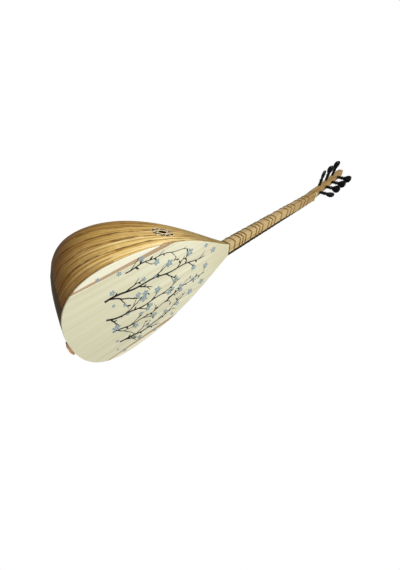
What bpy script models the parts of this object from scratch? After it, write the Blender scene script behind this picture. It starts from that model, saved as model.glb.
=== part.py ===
"""Short-neck baglama: a staved bowl lute with a pierced side rosette, tied frets and seven friction pegs.

Metres, +Z along the neck from tail to head, soundboard facing -Y, bass side at -X.
Heights in the sizes are measured from the soundboard's tail edge; the parent empty then
puts the bridge seat, on the soundboard's face, at the world's origin.
"""
import math

import bmesh
import bpy
import numpy as np

for old in list(bpy.data.objects):
    bpy.data.objects.remove(old, do_unlink=True)

# Clearance between neighbours, and what every round piece shares
GAP = 0.0003
MERGE = 0.000001
SMOOTH_ANGLE = math.radians(38)

# Lengths along the instrument: the bridge stands one string length from the nut
SCALE = 0.7000
BOWL_LENGTH = 0.4200
NECK_LENGTH = 0.3907
NUT_HEIGHT = BOWL_LENGTH + NECK_LENGTH
BRIDGE_FROM_TAIL = NUT_HEIGHT - SCALE

# Bowl and soundboard outline
BOWL_WIDTH = 0.259
BOWL_DEPTH = 0.236
WIDEST_HEIGHT = 0.1163
DEEPEST_HEIGHT = 0.157
TAIL_FULLNESS = 0.707
LOWER_FULLNESS = 0.631
UPPER_FULLNESS = 0.524
NECK_PULL = 0.201
NECK_SWEEP = 0.442
KEEL_TAIL_REACH = 0.050
KEEL_TAIL_RISE = 0.020
KEEL_LOWER_HEIGHT = 0.030
KEEL_UPPER_FULLNESS = 0.486
KEEL_NECK_PULL = 0.05
KEEL_NECK_SWEEP = 0.90
SECTION_POWER = 2.5
BOWL_WALL = 0.0030
CURVE_POINTS = 200

# Staves and the cap that covers their tail ends
STAVES = 19
STAVE_STEPS = 17
STAVE_COLUMNS = 2
STAVE_CROWDING = 1.35
STAVE_DRIFT = 0.55
EVEN_HEIGHT = 0.110
DRIFT_REACH = 0.190
CAP_EDGE = 0.0220
CAP_SLOPE = 0.245
CAP_ROWS = 8

# Soundboard of five boards: a middle, two tan wedge strips and two narrow wings
BOARD = 0.0028
WING_WIDTH = 0.0175
WEDGE_OFFSET = BOWL_WIDTH / 2 - WING_WIDTH
WEDGE_TAIL_WIDTH = 0.0035
WEDGE_NECK_WIDTH = 0.0095
WEDGE_FULL_HEIGHT = 0.210
OUTLINE_STEPS = 34
RIM = BOARD + GAP

# Wood inside the bowl
NECK_BLOCK = 0.045
TAIL_BLOCK = 0.026
TAIL_BLOCK_WIDTH = 0.090
TAIL_BLOCK_DEPTH = 0.060
BRACE_HEIGHT = 0.178
BRACE_WIDTH = 0.007
BRACE_DEPTH = 0.014

# Slotted bar at the tail that holds the string loops, set a little towards the treble side
STRINGS = 7
HOLDER_SHIFT = 0.006
HOLDER_WIDTH = 0.033
HOLDER_REACH = 0.0052
HOLDER_END_DROP = 0.55
HOLDER_RISE = 0.0012
HOLDER_DEPTH = 0.009
HOLDER_ROOT = 0.013
HOLDER_FACETS = 12
HOLDER_SLOT = 0.0012
HOLDER_SLOT_DEPTH = 0.0045

# Rosette let into the bass side of the bowl
ROSETTE_HEIGHT = 0.2607
ROSETTE_DEPTH = 0.0505
ROSETTE_RADIUS = 0.024
ROSETTE_RING = 0.0042
ROSETTE_STRAND = 0.0024
ROSETTE_POINTS = 8
ROSETTE_TURN = math.radians(45)
ROSETTE_THICKNESS = 0.0024
ROSETTE_SEGMENTS = 48

# Neck and its dark joint line
VENEER = 0.0016
NECK_WIDTH_JOINT = 0.0344
NECK_WIDTH_NUT = 0.0253
NECK_DEPTH_JOINT = 0.0346
NECK_DEPTH_NUT = 0.0240
NECK_FLARE = 0.0042
NECK_FLARE_REACH = 0.055
NECK_CORNER = 0.0010
NECK_BACK_POINTS = 9

# Nut
NUT = 0.0042
NUT_SEAT = 0.0030
NUT_RISE = 0.0022
STRING_NOTCH = 0.0009
STRING_SPAN = 0.0185

# Head, leaning back from the nut
HEAD_LEAN = math.radians(6.2)
HEAD_SETBACK = 0.0034
HEAD_LENGTH = 0.2270
HEAD_TIP_WIDTH = 0.0225
HEAD_TIP_DEPTH = 0.0180
HEAD_TIP_ROUND = 0.010
HEAD_TIP_SLANT = 0.60
HEAD_SLANT_REACH = 0.030
HEAD_BLEND = 0.022
HEAD_POWER = 4.5

# Pegs
FRONT_PEG_FIRST = 0.0365
FRONT_PEG_STEP = 0.0450
SIDE_PEG_FIRST = 0.0540
SIDE_PEG_STEP = 0.0494
FRONT_PEG_SHIFTS = (0, -0.0015, -0.0015, -0.0025)
FRONT_PEG_TILT = math.radians(5)
SIDE_PEG_SEAT = 0.70
PEG_REACH = 0.0448
PEG_NECK = 0.0145
PEG_RADIUS = 0.0043
PEG_TIP_RADIUS = 0.0034
PEG_TAIL = 0.0030
PEG_COLLAR_RADIUS = 0.0057
PEG_COLLAR = 0.0028
PEG_WAIST_RADIUS = 0.0036
PEG_KNOB_WIDTH = 0.0220
PEG_KNOB_THICKNESS = 0.0096
PEG_SIDES = 12
BORE_SIDES = 18
FRONT_PEG_TURNS = (100, 155, 145, 145)
SIDE_PEG_TURNS = (5, 150, 150)

# Tied frets: each is three turns of one nylon line
FRET_RATIOS = (18 / 17, 12 / 11, 9 / 8, 81 / 68, 27 / 22, 81 / 64, 4 / 3, 24 / 17, 16 / 11,
               3 / 2, 27 / 17, 18 / 11, 27 / 16, 16 / 9, 32 / 17, 64 / 33, 2, 36 / 17)
FRET_TURNS = 3
FRET_LINE = 0.0007
FRET_PITCH = 0.00118


# Shared makers of meshes and objects

def new_mesh(name, points, faces, smooth=True):
    """A mesh with doubled points merged and its faces turned outwards."""
    mesh = bpy.data.meshes.new(name)
    mesh.from_pydata([tuple(map(float, point)) for point in points], [], faces)
    form = bmesh.new()
    form.from_mesh(mesh)
    bmesh.ops.remove_doubles(form, verts=form.verts, dist=MERGE)
    bmesh.ops.recalc_face_normals(form, faces=form.faces)
    form.to_mesh(mesh)
    form.free()
    if smooth:
        mesh.shade_smooth()
        mesh.set_sharp_from_angle(angle=SMOOTH_ANGLE)
    return mesh


def new_material(name, colour, roughness, metallic=0.0):
    material = bpy.data.materials.new(name)
    material.use_nodes = True
    shader = material.node_tree.nodes["Principled BSDF"]
    shader.inputs["Base Color"].default_value = (*colour, 1.0)
    shader.inputs["Roughness"].default_value = roughness
    shader.inputs["Metallic"].default_value = metallic
    return material


def add_piece(name, data, material, parent):
    piece = bpy.data.objects.new(name, data)
    bpy.context.scene.collection.objects.link(piece)
    data.materials.append(material)
    piece.parent = parent
    return piece


def add_guide(name, mesh, parent):
    """A cutting form that is no part of the instrument."""
    guide = bpy.data.objects.new(name, mesh)
    bpy.context.scene.collection.objects.link(guide)
    guide.parent = parent
    guide.hide_render = True
    guide.display_type = 'WIRE'
    return guide


def cut(piece, guide, operation='DIFFERENCE'):
    boolean = piece.modifiers.new(operation.lower(), 'BOOLEAN')
    boolean.operation = operation
    boolean.solver = 'EXACT'
    boolean.object = guide


def loft(name, rings, smooth=True):
    """A closed solid through rings of equally many points."""
    count = len(rings[0])
    points = [point for ring in rings for point in ring]
    faces = [tuple(range(count)), tuple((len(rings) - 1) * count + k for k in reversed(range(count)))]
    for ring in range(len(rings) - 1):
        for k in range(count):
            after = (k + 1) % count
            faces.append((ring * count + k, (ring + 1) * count + k,
                          (ring + 1) * count + after, ring * count + after))
    return new_mesh(name, points, faces, smooth)


def block(name, low, high):
    """A plain box between two corners."""
    (x0, y0, z0), (x1, y1, z1) = low, high
    rings = [[(x0, y0, z), (x1, y0, z), (x1, y1, z), (x0, y1, z)] for z in (z0, z1)]
    return loft(name, rings, smooth=False)


def bezier(start, pull, push, end, count):
    t = np.linspace(0, 1, count)[:, None]
    start, pull, push, end = map(np.array, (start, pull, push, end))
    return (1 - t)**3 * start + 3 * (1 - t)**2 * t * pull + 3 * (1 - t) * t**2 * push + t**3 * end


# The bowl's form: an outline, a keel and a superellipse between them

def outline_curve():
    """Right half of the soundboard's outline as (x, height), from the tail to the neck."""
    half = BOWL_WIDTH / 2
    upper = BOWL_LENGTH - WIDEST_HEIGHT
    joint = np.array((NECK_WIDTH_JOINT / 2, BOWL_LENGTH))
    sweep = np.array((math.sin(NECK_SWEEP), -math.cos(NECK_SWEEP)))
    tail = bezier((0, 0), (TAIL_FULLNESS * half, 0),
                  (half, WIDEST_HEIGHT * (1 - LOWER_FULLNESS)), (half, WIDEST_HEIGHT), CURVE_POINTS)
    body = bezier((half, WIDEST_HEIGHT), (half, WIDEST_HEIGHT + UPPER_FULLNESS * upper),
                  joint + sweep * NECK_PULL * upper, joint, CURVE_POINTS)
    return np.vstack((tail, body[1:]))


def keel_curve():
    """The bowl's back line as (depth, height), from the tail to the neck."""
    upper = BOWL_LENGTH - DEEPEST_HEIGHT
    joint = np.array((NECK_DEPTH_JOINT, BOWL_LENGTH))
    sweep = np.array((math.sin(KEEL_NECK_SWEEP), -math.cos(KEEL_NECK_SWEEP)))
    tail = bezier((0, 0), (KEEL_TAIL_REACH, KEEL_TAIL_RISE),
                  (BOWL_DEPTH, KEEL_LOWER_HEIGHT), (BOWL_DEPTH, DEEPEST_HEIGHT), CURVE_POINTS)
    body = bezier((BOWL_DEPTH, DEEPEST_HEIGHT), (BOWL_DEPTH, DEEPEST_HEIGHT + KEEL_UPPER_FULLNESS * upper),
                  joint + sweep * KEEL_NECK_PULL * upper, joint, CURVE_POINTS)
    return np.vstack((tail, body[1:]))


def shift_curve(curve, offset):
    """The curve moved outwards by an offset, square to itself."""
    along = np.gradient(curve, axis=0)
    along /= np.linalg.norm(along, axis=1, keepdims=True)
    outwards = np.stack((along[:, 1], -along[:, 0]), axis=1)
    return curve + outwards * offset


def bowl_form(offset):
    """Outline and keel of the bowl's outer face moved outwards by an offset."""
    return shift_curve(outline_curve(), offset), shift_curve(keel_curve(), offset)


def level(form, points):
    """Under 1 inside the form, 1 on its face and over 1 outside."""
    outline, keel = form
    width = np.interp(points[..., 2], outline[:, 1], outline[:, 0], left=MERGE)
    depth = np.interp(points[..., 2], keel[:, 1], keel[:, 0], left=MERGE)
    across = np.abs(points[..., 0]) / np.maximum(width, MERGE)
    down = np.maximum(points[..., 1], 0) / np.maximum(depth, MERGE)
    return across**SECTION_POWER + down**SECTION_POWER


def reach(form, centre, rays):
    """Where rays from a centre inside the form leave it."""
    near = np.zeros(len(rays))
    far = np.full(len(rays), BOWL_WIDTH + BOWL_DEPTH)
    for _ in range(36):
        middle = (near + far) / 2
        inside = level(form, centre + rays * middle[:, None]) < 1
        near = np.where(inside, middle, near)
        far = np.where(inside, far, middle)
    return centre + rays * near[:, None]


def enter(form, start, rays):
    """Where one ray from outside first meets the form."""
    outside, inside = 0.0, 2 * ROSETTE_RADIUS
    for _ in range(36):
        middle = (outside + inside) / 2
        if level(form, (start + rays * middle))[0] < 1:
            inside = middle
        else:
            outside = middle
    return start + rays[0] * outside


def section(form, height, tilt):
    """The form's face where a tilted plane cuts it, from the bass rim over the keel to the treble rim."""
    angle = np.linspace(0, math.pi, 181)
    rays = np.stack((-np.cos(angle), np.sin(angle) * math.cos(tilt), np.sin(angle) * math.sin(tilt)), axis=1)
    return reach(form, np.array((0, RIM, height)), rays)


def walk(curve, shares, shift=0.0):
    """Points at shares of a curve's length, each moved along it by a shift."""
    steps = np.linalg.norm(np.diff(curve, axis=0), axis=1)
    run = np.concatenate(((0,), np.cumsum(steps)))
    places = np.asarray(shares) * run[-1] + shift
    return np.stack([np.interp(places, run, curve[:, axis]) for axis in range(3)], axis=1)


def stave_planes(bottom, top):
    """Heights and tilts of the planes that station the staves, from the cap's edge to the neck."""
    share = np.linspace(0, 1, STAVE_STEPS + 1)**STAVE_CROWDING
    return list(zip(bottom + share * (top - bottom), np.arctan(CAP_SLOPE * (1 - share))))


def stave_edge(index, height):
    """Share of the section where a joint between staves lies: rim staves narrow towards the neck."""
    share = index / STAVES
    drift = STAVE_DRIFT * math.tanh((height - EVEN_HEIGHT) / DRIFT_REACH)
    return share - drift * math.sin(2 * math.pi * share) / (2 * math.pi)


def section_shares(height):
    """Shares of the section for every column of points, stave after stave."""
    edges = [stave_edge(index, height) for index in range(STAVES + 1)]
    columns = np.arange(STAVES * STAVE_COLUMNS + 1) / STAVE_COLUMNS
    return np.interp(columns, np.arange(STAVES + 1), edges)


def shell(name, outer, inner, closed_sides=True):
    """A wall between two grids of points; without closed sides the rows meet at both their ends."""
    rows, columns = outer.shape[:2]
    points = np.concatenate((outer.reshape(-1, 3), inner.reshape(-1, 3)))
    inside = rows * columns

    def at(row, column, layer):
        return row * columns + column + layer * inside

    faces = []
    for row in range(rows - 1):
        for column in range(columns - 1):
            for layer in (0, 1):
                faces.append((at(row, column, layer), at(row, column + 1, layer),
                              at(row + 1, column + 1, layer), at(row + 1, column, layer)))
    for row in (0, rows - 1):
        for column in range(columns - 1):
            faces.append((at(row, column, 0), at(row, column + 1, 0),
                          at(row, column + 1, 1), at(row, column, 1)))
    if closed_sides:
        for column in (0, columns - 1):
            for row in range(rows - 1):
                faces.append((at(row, column, 0), at(row + 1, column, 0),
                              at(row + 1, column, 1), at(row, column, 1)))
    return new_mesh(name, points, faces)


def bowl_solid(name, form):
    """A solid filling the form, closed flat at the rim; it cuts and trims."""
    cap_tilts = np.linspace(-math.pi / 2, math.atan(CAP_SLOPE), CAP_ROWS)
    planes = [(CAP_EDGE, tilt) for tilt in cap_tilts]
    planes += stave_planes(CAP_EDGE + GAP, BOWL_LENGTH - GAP)[1:]
    rows = [walk(section(form, height, tilt), section_shares(height)) for height, tilt in planes]
    rows.append(rows[-1] + np.array((0, 0, NECK_BLOCK)))
    count = len(rows[0])
    faces = []
    for row in range(len(rows) - 1):
        for k in range(count - 1):
            faces.append((row * count + k, row * count + k + 1,
                          (row + 1) * count + k + 1, (row + 1) * count + k))
    last = (len(rows) - 1) * count
    faces.append(tuple(last + k for k in range(count)))
    mesh = new_mesh(name, np.concatenate(rows), faces, smooth=False)
    solid = bmesh.new()
    solid.from_mesh(mesh)
    rim = [edge for edge in solid.edges if edge.is_boundary]
    bmesh.ops.contextual_create(solid, geom=rim)
    bmesh.ops.recalc_face_normals(solid, faces=solid.faces)
    solid.to_mesh(mesh)
    solid.free()
    return mesh


# Woods and lines
STAVE_WOOD = new_material("golden_stave_wood", (0.47, 0.27, 0.085), 0.28)
CAP_WOOD = new_material("brown_cap_wood", (0.16, 0.09, 0.045), 0.32)
SPRUCE = new_material("cream_spruce", (0.80, 0.76, 0.62), 0.45)
WEDGE_WOOD = new_material("tan_wedge_wood", (0.46, 0.33, 0.20), 0.45)
INNER_WOOD = new_material("raw_inner_wood", (0.62, 0.47, 0.29), 0.70)
NECK_WOOD = new_material("tan_neck_wood", (0.60, 0.37, 0.20), 0.38)
VENEER_WOOD = new_material("brown_veneer", (0.22, 0.10, 0.05), 0.40)
HOLDER_WOOD = new_material("orange_brown_wood", (0.50, 0.24, 0.09), 0.40)
ROSETTE_WOOD = new_material("pale_fretwork_wood", (0.66, 0.55, 0.38), 0.50)
NUT_BONE = new_material("pale_nut", (0.72, 0.70, 0.52), 0.35)
PEG_EBONY = new_material("near_black_peg", (0.012, 0.014, 0.018), 0.25)
FRET_NYLON = new_material("amber_nylon", (0.33, 0.15, 0.05), 0.30)

root = bpy.data.objects.new("baglama", None)
bpy.context.scene.collection.objects.link(root)
root.location = (0, 0, -BRIDGE_FROM_TAIL)


# Bowl: bent staves, cut for the rosette, and the cap over their tail ends

def rosette_frame():
    """Centre on the bowl's face, outward normal, direction towards the neck, and direction to the keel."""
    start = np.array((0, ROSETTE_DEPTH, ROSETTE_HEIGHT))
    centre = reach(OUTER, start, np.array(((-1.0, 0, 0),)))[0]
    slope = []
    for axis in np.eye(3):
        pair = np.array((centre + axis * MERGE * 10, centre - axis * MERGE * 10))
        high, low = level(OUTER, pair)
        slope.append(high - low)
    normal = np.array(slope) / np.linalg.norm(slope)
    along = np.array((0, 0, 1.0)) - normal * normal[2]
    along /= np.linalg.norm(along)
    return centre, normal, along, np.cross(normal, along)


OUTER = bowl_form(0)
INNER = bowl_form(-BOWL_WALL)
ROSETTE_CENTRE, ROSETTE_NORMAL, ROSETTE_ALONG, ROSETTE_ACROSS = rosette_frame()


def rosette_point(along, across, height):
    """A place over the rosette's centre plane."""
    return (ROSETTE_CENTRE + ROSETTE_ALONG * along + ROSETTE_ACROSS * across + ROSETTE_NORMAL * height)


def separate(name, mesh):
    """Each closed body of a mesh as a mesh of its own, from the tail up."""
    lead = list(range(len(mesh.vertices)))

    def first_of(vertex):
        while lead[vertex] != vertex:
            vertex = lead[vertex]
        return vertex

    for edge in mesh.edges:
        one, other = sorted(first_of(vertex) for vertex in edge.vertices)
        lead[other] = one
    bodies = {}
    for polygon in mesh.polygons:
        bodies.setdefault(first_of(polygon.vertices[0]), []).append(polygon.vertices[:])
    parts = []
    for faces in bodies.values():
        used = sorted({vertex for face in faces for vertex in face})
        place = {vertex: number for number, vertex in enumerate(used)}
        points = [mesh.vertices[vertex].co[:] for vertex in used]
        parts.append(new_mesh(name, points, [[place[vertex] for vertex in face] for face in faces]))
    return sorted(parts, key=lambda part: min(vertex.co.z for vertex in part.vertices))


def evaluated_mesh(piece, *guides):
    """The mesh that a piece's modifiers leave, with the piece and its guides removed."""
    bpy.context.view_layer.update()
    mesh = bpy.data.meshes.new_from_object(piece.evaluated_get(bpy.context.evaluated_depsgraph_get()))
    for done in (piece, *guides):
        bpy.data.objects.remove(done)
    return mesh


def make_staves():
    """Each stave is a bent strip; one that the rosette's hole cuts right through is left in two lengths."""
    planes = stave_planes(CAP_EDGE + GAP, BOWL_LENGTH - GAP)
    outer = [section(OUTER, height, tilt) for height, tilt in planes]
    inner = [section(INNER, height, tilt) for height, tilt in planes]
    hole_radius = ROSETTE_RADIUS + GAP
    hole = [[rosette_point(hole_radius * math.cos(a), hole_radius * math.sin(a), height)
             for a in np.linspace(0, 2 * math.pi, ROSETTE_SEGMENTS, endpoint=False)]
            for height in (-ROSETTE_RADIUS / 2, ROSETTE_RADIUS / 4)]
    guide = add_guide("rosette_hole", loft("rosette_hole", hole), root)
    for index in range(STAVES):
        columns = slice(index * STAVE_COLUMNS, (index + 1) * STAVE_COLUMNS + 1)
        shift = np.linspace(GAP / 2 if index > 0 else 0, -GAP / 2 if index < STAVES - 1 else 0, STAVE_COLUMNS + 1)
        grids = [np.array([walk(curve, section_shares(height)[columns], shift)
                           for (height, _), curve in zip(planes, curves)]) for curves in (outer, inner)]
        name = f"stave_{index + 1:02d}"
        whole = shell(name, *grids)
        away = np.linalg.norm(grids[0] - ROSETTE_CENTRE, axis=2)
        if away.min() > 2 * hole_radius:
            add_piece(name, whole, STAVE_WOOD, root)
            continue
        blank = bpy.data.objects.new(name, whole)
        bpy.context.scene.collection.objects.link(blank)
        blank.parent = root
        cut(blank, guide)
        lengths = separate(name, evaluated_mesh(blank))
        endings = ("",) if len(lengths) == 1 else ("_tail", "_neck")
        for ending, length in zip(endings, lengths):
            add_piece(name + ending, length, STAVE_WOOD, root)


def make_tail_cap():
    tilts = np.linspace(math.atan(CAP_SLOPE), -math.pi / 2, CAP_ROWS)
    shares = section_shares(CAP_EDGE)
    grids = [np.array([walk(section(form, CAP_EDGE, tilt), shares) for tilt in tilts])
             for form in (OUTER, INNER)]
    add_piece("tail_cap", shell("tail_cap", *grids, closed_sides=False), CAP_WOOD, root)


# Rosette: a ring and a star of eight straight strands, pierced and bent to the bowl

def rosette_openings():
    """Corners of the pierced openings in the rosette's plane."""
    corner = math.pi / ROSETTE_POINTS
    inner_ring = ROSETTE_RADIUS - ROSETTE_RING
    half = ROSETTE_STRAND / 2
    offset = (inner_ring + half) * math.cos(3 * corner)
    spin = [2 * corner * k + ROSETTE_TURN for k in range(ROSETTE_POINTS)]

    def meet(first, first_distance, second, second_distance):
        sides = np.array(((math.cos(first), math.sin(first)), (math.cos(second), math.sin(second))))
        return np.linalg.solve(sides, (first_distance, second_distance))

    openings = [[((offset - half) / math.cos(corner) * math.cos(a + corner),
                  (offset - half) / math.cos(corner) * math.sin(a + corner)) for a in spin]]
    for a in spin:
        openings.append([meet(a, offset + half, a + 2 * corner, offset + half),
                         meet(a, offset + half, a + 4 * corner, offset - half),
                         meet(a - 2 * corner, offset - half, a + 4 * corner, offset - half),
                         meet(a + 2 * corner, offset + half, a - 2 * corner, offset - half)])
        apex = (offset + half) / math.cos(2 * corner)
        slant = math.asin((offset + half) / inner_ring)
        arc = 2 * corner - slant
        rim = [(inner_ring * math.cos(a + b), inner_ring * math.sin(a + b))
               for b in np.linspace(-arc, arc, 5)]
        openings.append([(apex * math.cos(a), apex * math.sin(a)), *rim])
    return openings


def make_rosette():
    """Flat fretwork cut first, then each point set on the bowl's face or one thickness under it."""
    plate = [[(ROSETTE_RADIUS * math.cos(a), ROSETTE_RADIUS * math.sin(a), z)
              for a in np.linspace(0, 2 * math.pi, ROSETTE_SEGMENTS, endpoint=False)]
             for z in (-ROSETTE_THICKNESS, 0)]
    flat = bpy.data.objects.new("rosette_plate", loft("rosette_plate", plate))
    bpy.context.scene.collection.objects.link(flat)
    points, faces = [], []
    for corners in rosette_openings():
        start, count = len(points), len(corners)
        for z in (-2 * ROSETTE_THICKNESS, ROSETTE_THICKNESS):
            points.extend((x, y, z) for x, y in corners)
        faces.append(tuple(range(start, start + count)))
        faces.append(tuple(range(start + count, start + 2 * count)))
        for k in range(count):
            after = (k + 1) % count
            faces.append((start + k, start + after, start + count + after, start + count + k))
    guide = add_guide("rosette_openings", new_mesh("rosette_openings", points, faces, smooth=False), None)
    cut(flat, guide)
    mesh = evaluated_mesh(flat, guide)
    for vertex in mesh.vertices:
        x, y, z = vertex.co
        above = rosette_point(x, y, ROSETTE_RADIUS)
        drop = -np.array((ROSETTE_NORMAL,))
        seat = enter(OUTER, above, drop)
        vertex.co = seat + ROSETTE_NORMAL * z
    add_piece("rosette", mesh, ROSETTE_WOOD, root)


# Soundboard: boards cut from one outline

def board_outline(low_edge, high_edge):
    """Corners of the board between two edge lines, where the outline leaves room for it."""
    outline = outline_curve()
    heights, widths = outline[:, 1], outline[:, 0]
    fine = np.linspace(0, BOWL_LENGTH - GAP, 4001)
    width = np.interp(fine, heights, widths)
    low, high = low_edge(fine), np.minimum(high_edge(fine), width)
    room = high - low > MERGE
    bottom, top = fine[room][0], fine[room][-1]
    share = (1 - np.cos(np.linspace(0, math.pi, OUTLINE_STEPS))) / 2
    stations = bottom + share * (top - bottom)
    low = low_edge(stations)
    high = np.maximum(np.minimum(high_edge(stations), np.interp(stations, heights, widths)), low)
    return [(x, z) for x, z in zip(high, stations)] + [(x, z) for x, z in zip(low[::-1], stations[::-1])]


def wedge_width(height):
    """Width of a wedge strip: it grows evenly up to its full height and then stays."""
    return WEDGE_TAIL_WIDTH + (WEDGE_NECK_WIDTH - WEDGE_TAIL_WIDTH) * np.clip(height / WEDGE_FULL_HEIGHT, 0, 1)


def wedge_inner(height):
    return WEDGE_OFFSET - wedge_width(height) / 2


def wedge_outer(height):
    return WEDGE_OFFSET + wedge_width(height) / 2


def make_board(name, corners, side, material):
    rings = [[(side * x, y, z) for x, z in corners] for y in (0, BOARD)]
    add_piece(name, loft(name, rings, smooth=False), material, root)


def make_soundboard():
    far = 2 * BOWL_WIDTH
    right = board_outline(lambda z: np.zeros_like(z), lambda z: wedge_inner(z) - GAP / 2)
    right = right[:OUTLINE_STEPS]
    left = [(-x, z) for x, z in reversed(right)]
    make_board("soundboard_middle", right + left, 1, SPRUCE)
    wedge = board_outline(lambda z: wedge_inner(z) + GAP / 2, lambda z: wedge_outer(z) - GAP / 2)
    wing = board_outline(lambda z: wedge_outer(z) + GAP / 2, lambda z: np.full_like(z, far))
    for side, word in ((-1, "bass"), (1, "treble")):
        make_board(f"wedge_strip_{word}", wedge, side, WEDGE_WOOD)
        make_board(f"soundboard_wing_{word}", wing, side, SPRUCE)


# Blocks and brace inside, all trimmed by the bowl's hollow

def make_inner_wood():
    hollow = add_guide("bowl_hollow", bowl_solid("bowl_hollow", bowl_form(-BOWL_WALL - GAP)), root)
    wide = BOWL_WIDTH
    pieces = {
        "neck_block": ((-wide, 0, BOWL_LENGTH - NECK_BLOCK), (wide, BOWL_DEPTH, BOWL_LENGTH - GAP)),
        "tail_block": ((-TAIL_BLOCK_WIDTH / 2, 0, 0), (TAIL_BLOCK_WIDTH / 2, TAIL_BLOCK_DEPTH, TAIL_BLOCK)),
        "soundboard_brace": ((-wide, 0, BRACE_HEIGHT), (wide, RIM + BRACE_DEPTH, BRACE_HEIGHT + BRACE_WIDTH)),
    }
    for name, (low, high) in pieces.items():
        cut(add_piece(name, block(name, low, high), INNER_WOOD, root), hollow, 'INTERSECT')


def make_string_holder():
    """A bar with a bulged tail face, its back fitted to the bowl; the string loops hang in its slots."""
    share = np.linspace(-1, 1, HOLDER_FACETS + 1)
    bulge = HOLDER_REACH * (1 - HOLDER_END_DROP * np.abs(share)**SECTION_POWER)
    across = HOLDER_SHIFT + share * HOLDER_WIDTH / 2
    rings = []
    for y, fullness in ((-HOLDER_RISE, 1), (HOLDER_DEPTH / 2, 1), (HOLDER_DEPTH, HOLDER_END_DROP)):
        tail_face = [(x, y, -z * fullness) for x, z in zip(across, bulge)]
        rings.append([*tail_face, (across[-1], y, HOLDER_ROOT), (across[0], y, HOLDER_ROOT)])
    holder = add_piece("string_holder", loft("string_holder", rings, smooth=False), HOLDER_WOOD, root)
    pitch = HOLDER_WIDTH / (STRINGS + 1)
    front, floor = -2 * HOLDER_RISE, HOLDER_SLOT_DEPTH - HOLDER_RISE
    comb = [(HOLDER_SHIFT + HOLDER_WIDTH, 2 * front), (HOLDER_SHIFT - HOLDER_WIDTH, 2 * front),
            (HOLDER_SHIFT - HOLDER_WIDTH, front)]
    for string in range(STRINGS):
        x = HOLDER_SHIFT + (string - (STRINGS - 1) / 2) * pitch
        comb += [(x - HOLDER_SLOT / 2, front), (x - HOLDER_SLOT / 2, floor),
                 (x + HOLDER_SLOT / 2, floor), (x + HOLDER_SLOT / 2, front)]
    comb.append((HOLDER_SHIFT + HOLDER_WIDTH, front))
    slots = [[(x, y, z) for x, y in comb] for z in (-2 * HOLDER_ROOT, 2 * HOLDER_ROOT)]
    cut(holder, add_guide("holder_slots", loft("holder_slots", slots, smooth=False), root))
    cut(holder, add_guide("bowl_body", bowl_solid("bowl_body", bowl_form(GAP)), root))
    right = shift_curve(outline_curve(), GAP)[1::4]
    edge = [(x, z) for x, z in right] + [(-x, z) for x, z in right[::-1]]
    rim = [[(x, y, z) for x, z in edge] for y in (-2 * HOLDER_REACH, RIM + GAP)]
    cut(holder, add_guide("board_edge", loft("board_edge", rim, smooth=False), root))


# Neck, veneer, nut and frets

NECK_START = BOWL_LENGTH + VENEER + GAP
NECK_END = NUT_HEIGHT + NUT
HEAD_START = NECK_END + GAP


def neck_half_width(height):
    share = (height - BOWL_LENGTH) / (NUT_HEIGHT - BOWL_LENGTH)
    return (NECK_WIDTH_JOINT + (NECK_WIDTH_NUT - NECK_WIDTH_JOINT) * share) / 2


def flare(distance):
    """Extra depth of the back near the nut, where the neck swells into the head."""
    return NECK_FLARE * max(0.0, 1 - abs(distance) / NECK_FLARE_REACH)**2


def neck_depth(height):
    share = (height - BOWL_LENGTH) / (NUT_HEIGHT - BOWL_LENGTH)
    return NECK_DEPTH_JOINT + (NECK_DEPTH_NUT - NECK_DEPTH_JOINT) * share + flare(NECK_END - height)


def neck_ring(half, depth, power=SECTION_POWER):
    """Neck section as (x, y): flat front, small corners and a full round back, starting at the bass corner."""
    angle = np.linspace(0, math.pi, NECK_BACK_POINTS)
    across = np.sign(np.cos(angle)) * np.abs(np.cos(angle))**(2 / power)
    down = np.abs(np.sin(angle))**(2 / power)
    back = np.stack((half * across, NECK_CORNER + (depth - NECK_CORNER) * down), axis=1)
    front = np.array(((NECK_CORNER - half, 0), (half - NECK_CORNER, 0)))
    return np.vstack((front, back))


def lift(ring, height, lean=0.0):
    """Section points at a height; a lean slants the plane back from the head's front."""
    return [(x, y, height - math.tan(lean) * (y - HEAD_SETBACK)) for x, y in ring]


def make_neck():
    def ring(height, lean=0.0):
        return lift(neck_ring(neck_half_width(height), neck_depth(height)), height, lean)

    add_piece("joint_veneer", loft("joint_veneer", [ring(BOWL_LENGTH), ring(BOWL_LENGTH + VENEER)]),
              VENEER_WOOD, root)
    rings = [ring(NECK_START)]
    rings += [ring(NECK_END - NECK_FLARE_REACH * share) for share in (1, 0.75, 0.5, 0.25)]
    rings.append(ring(NECK_END, HEAD_LEAN))
    neck = add_piece("neck", loft("neck", rings), NECK_WOOD, root)
    wide = NECK_WIDTH_JOINT
    seat = block("nut_seat", (-wide, -NUT_SEAT, NUT_HEIGHT - GAP), (wide, NUT_SEAT + GAP, NUT_HEIGHT + 4 * NUT))
    cut(neck, add_guide("nut_seat", seat, root))


def make_nut():
    """A bar across the neck's end with one shallow notch for each string."""
    half = neck_half_width(NUT_HEIGHT)
    corners = [(-half, NUT_SEAT), (-half, -NUT_RISE)]
    for string in range(STRINGS):
        x = (string / (STRINGS - 1) - 0.5) * STRING_SPAN
        corners += [(x - STRING_NOTCH / 2, -NUT_RISE), (x, STRING_NOTCH - NUT_RISE),
                    (x + STRING_NOTCH / 2, -NUT_RISE)]
    corners += [(half, -NUT_RISE), (half, NUT_SEAT)]
    rings = [[(x, y, z) for x, y in corners] for z in (NUT_HEIGHT, NUT_HEIGHT + NUT)]
    add_piece("nut", loft("nut", rings, smooth=False), NUT_BONE, root)


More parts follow.
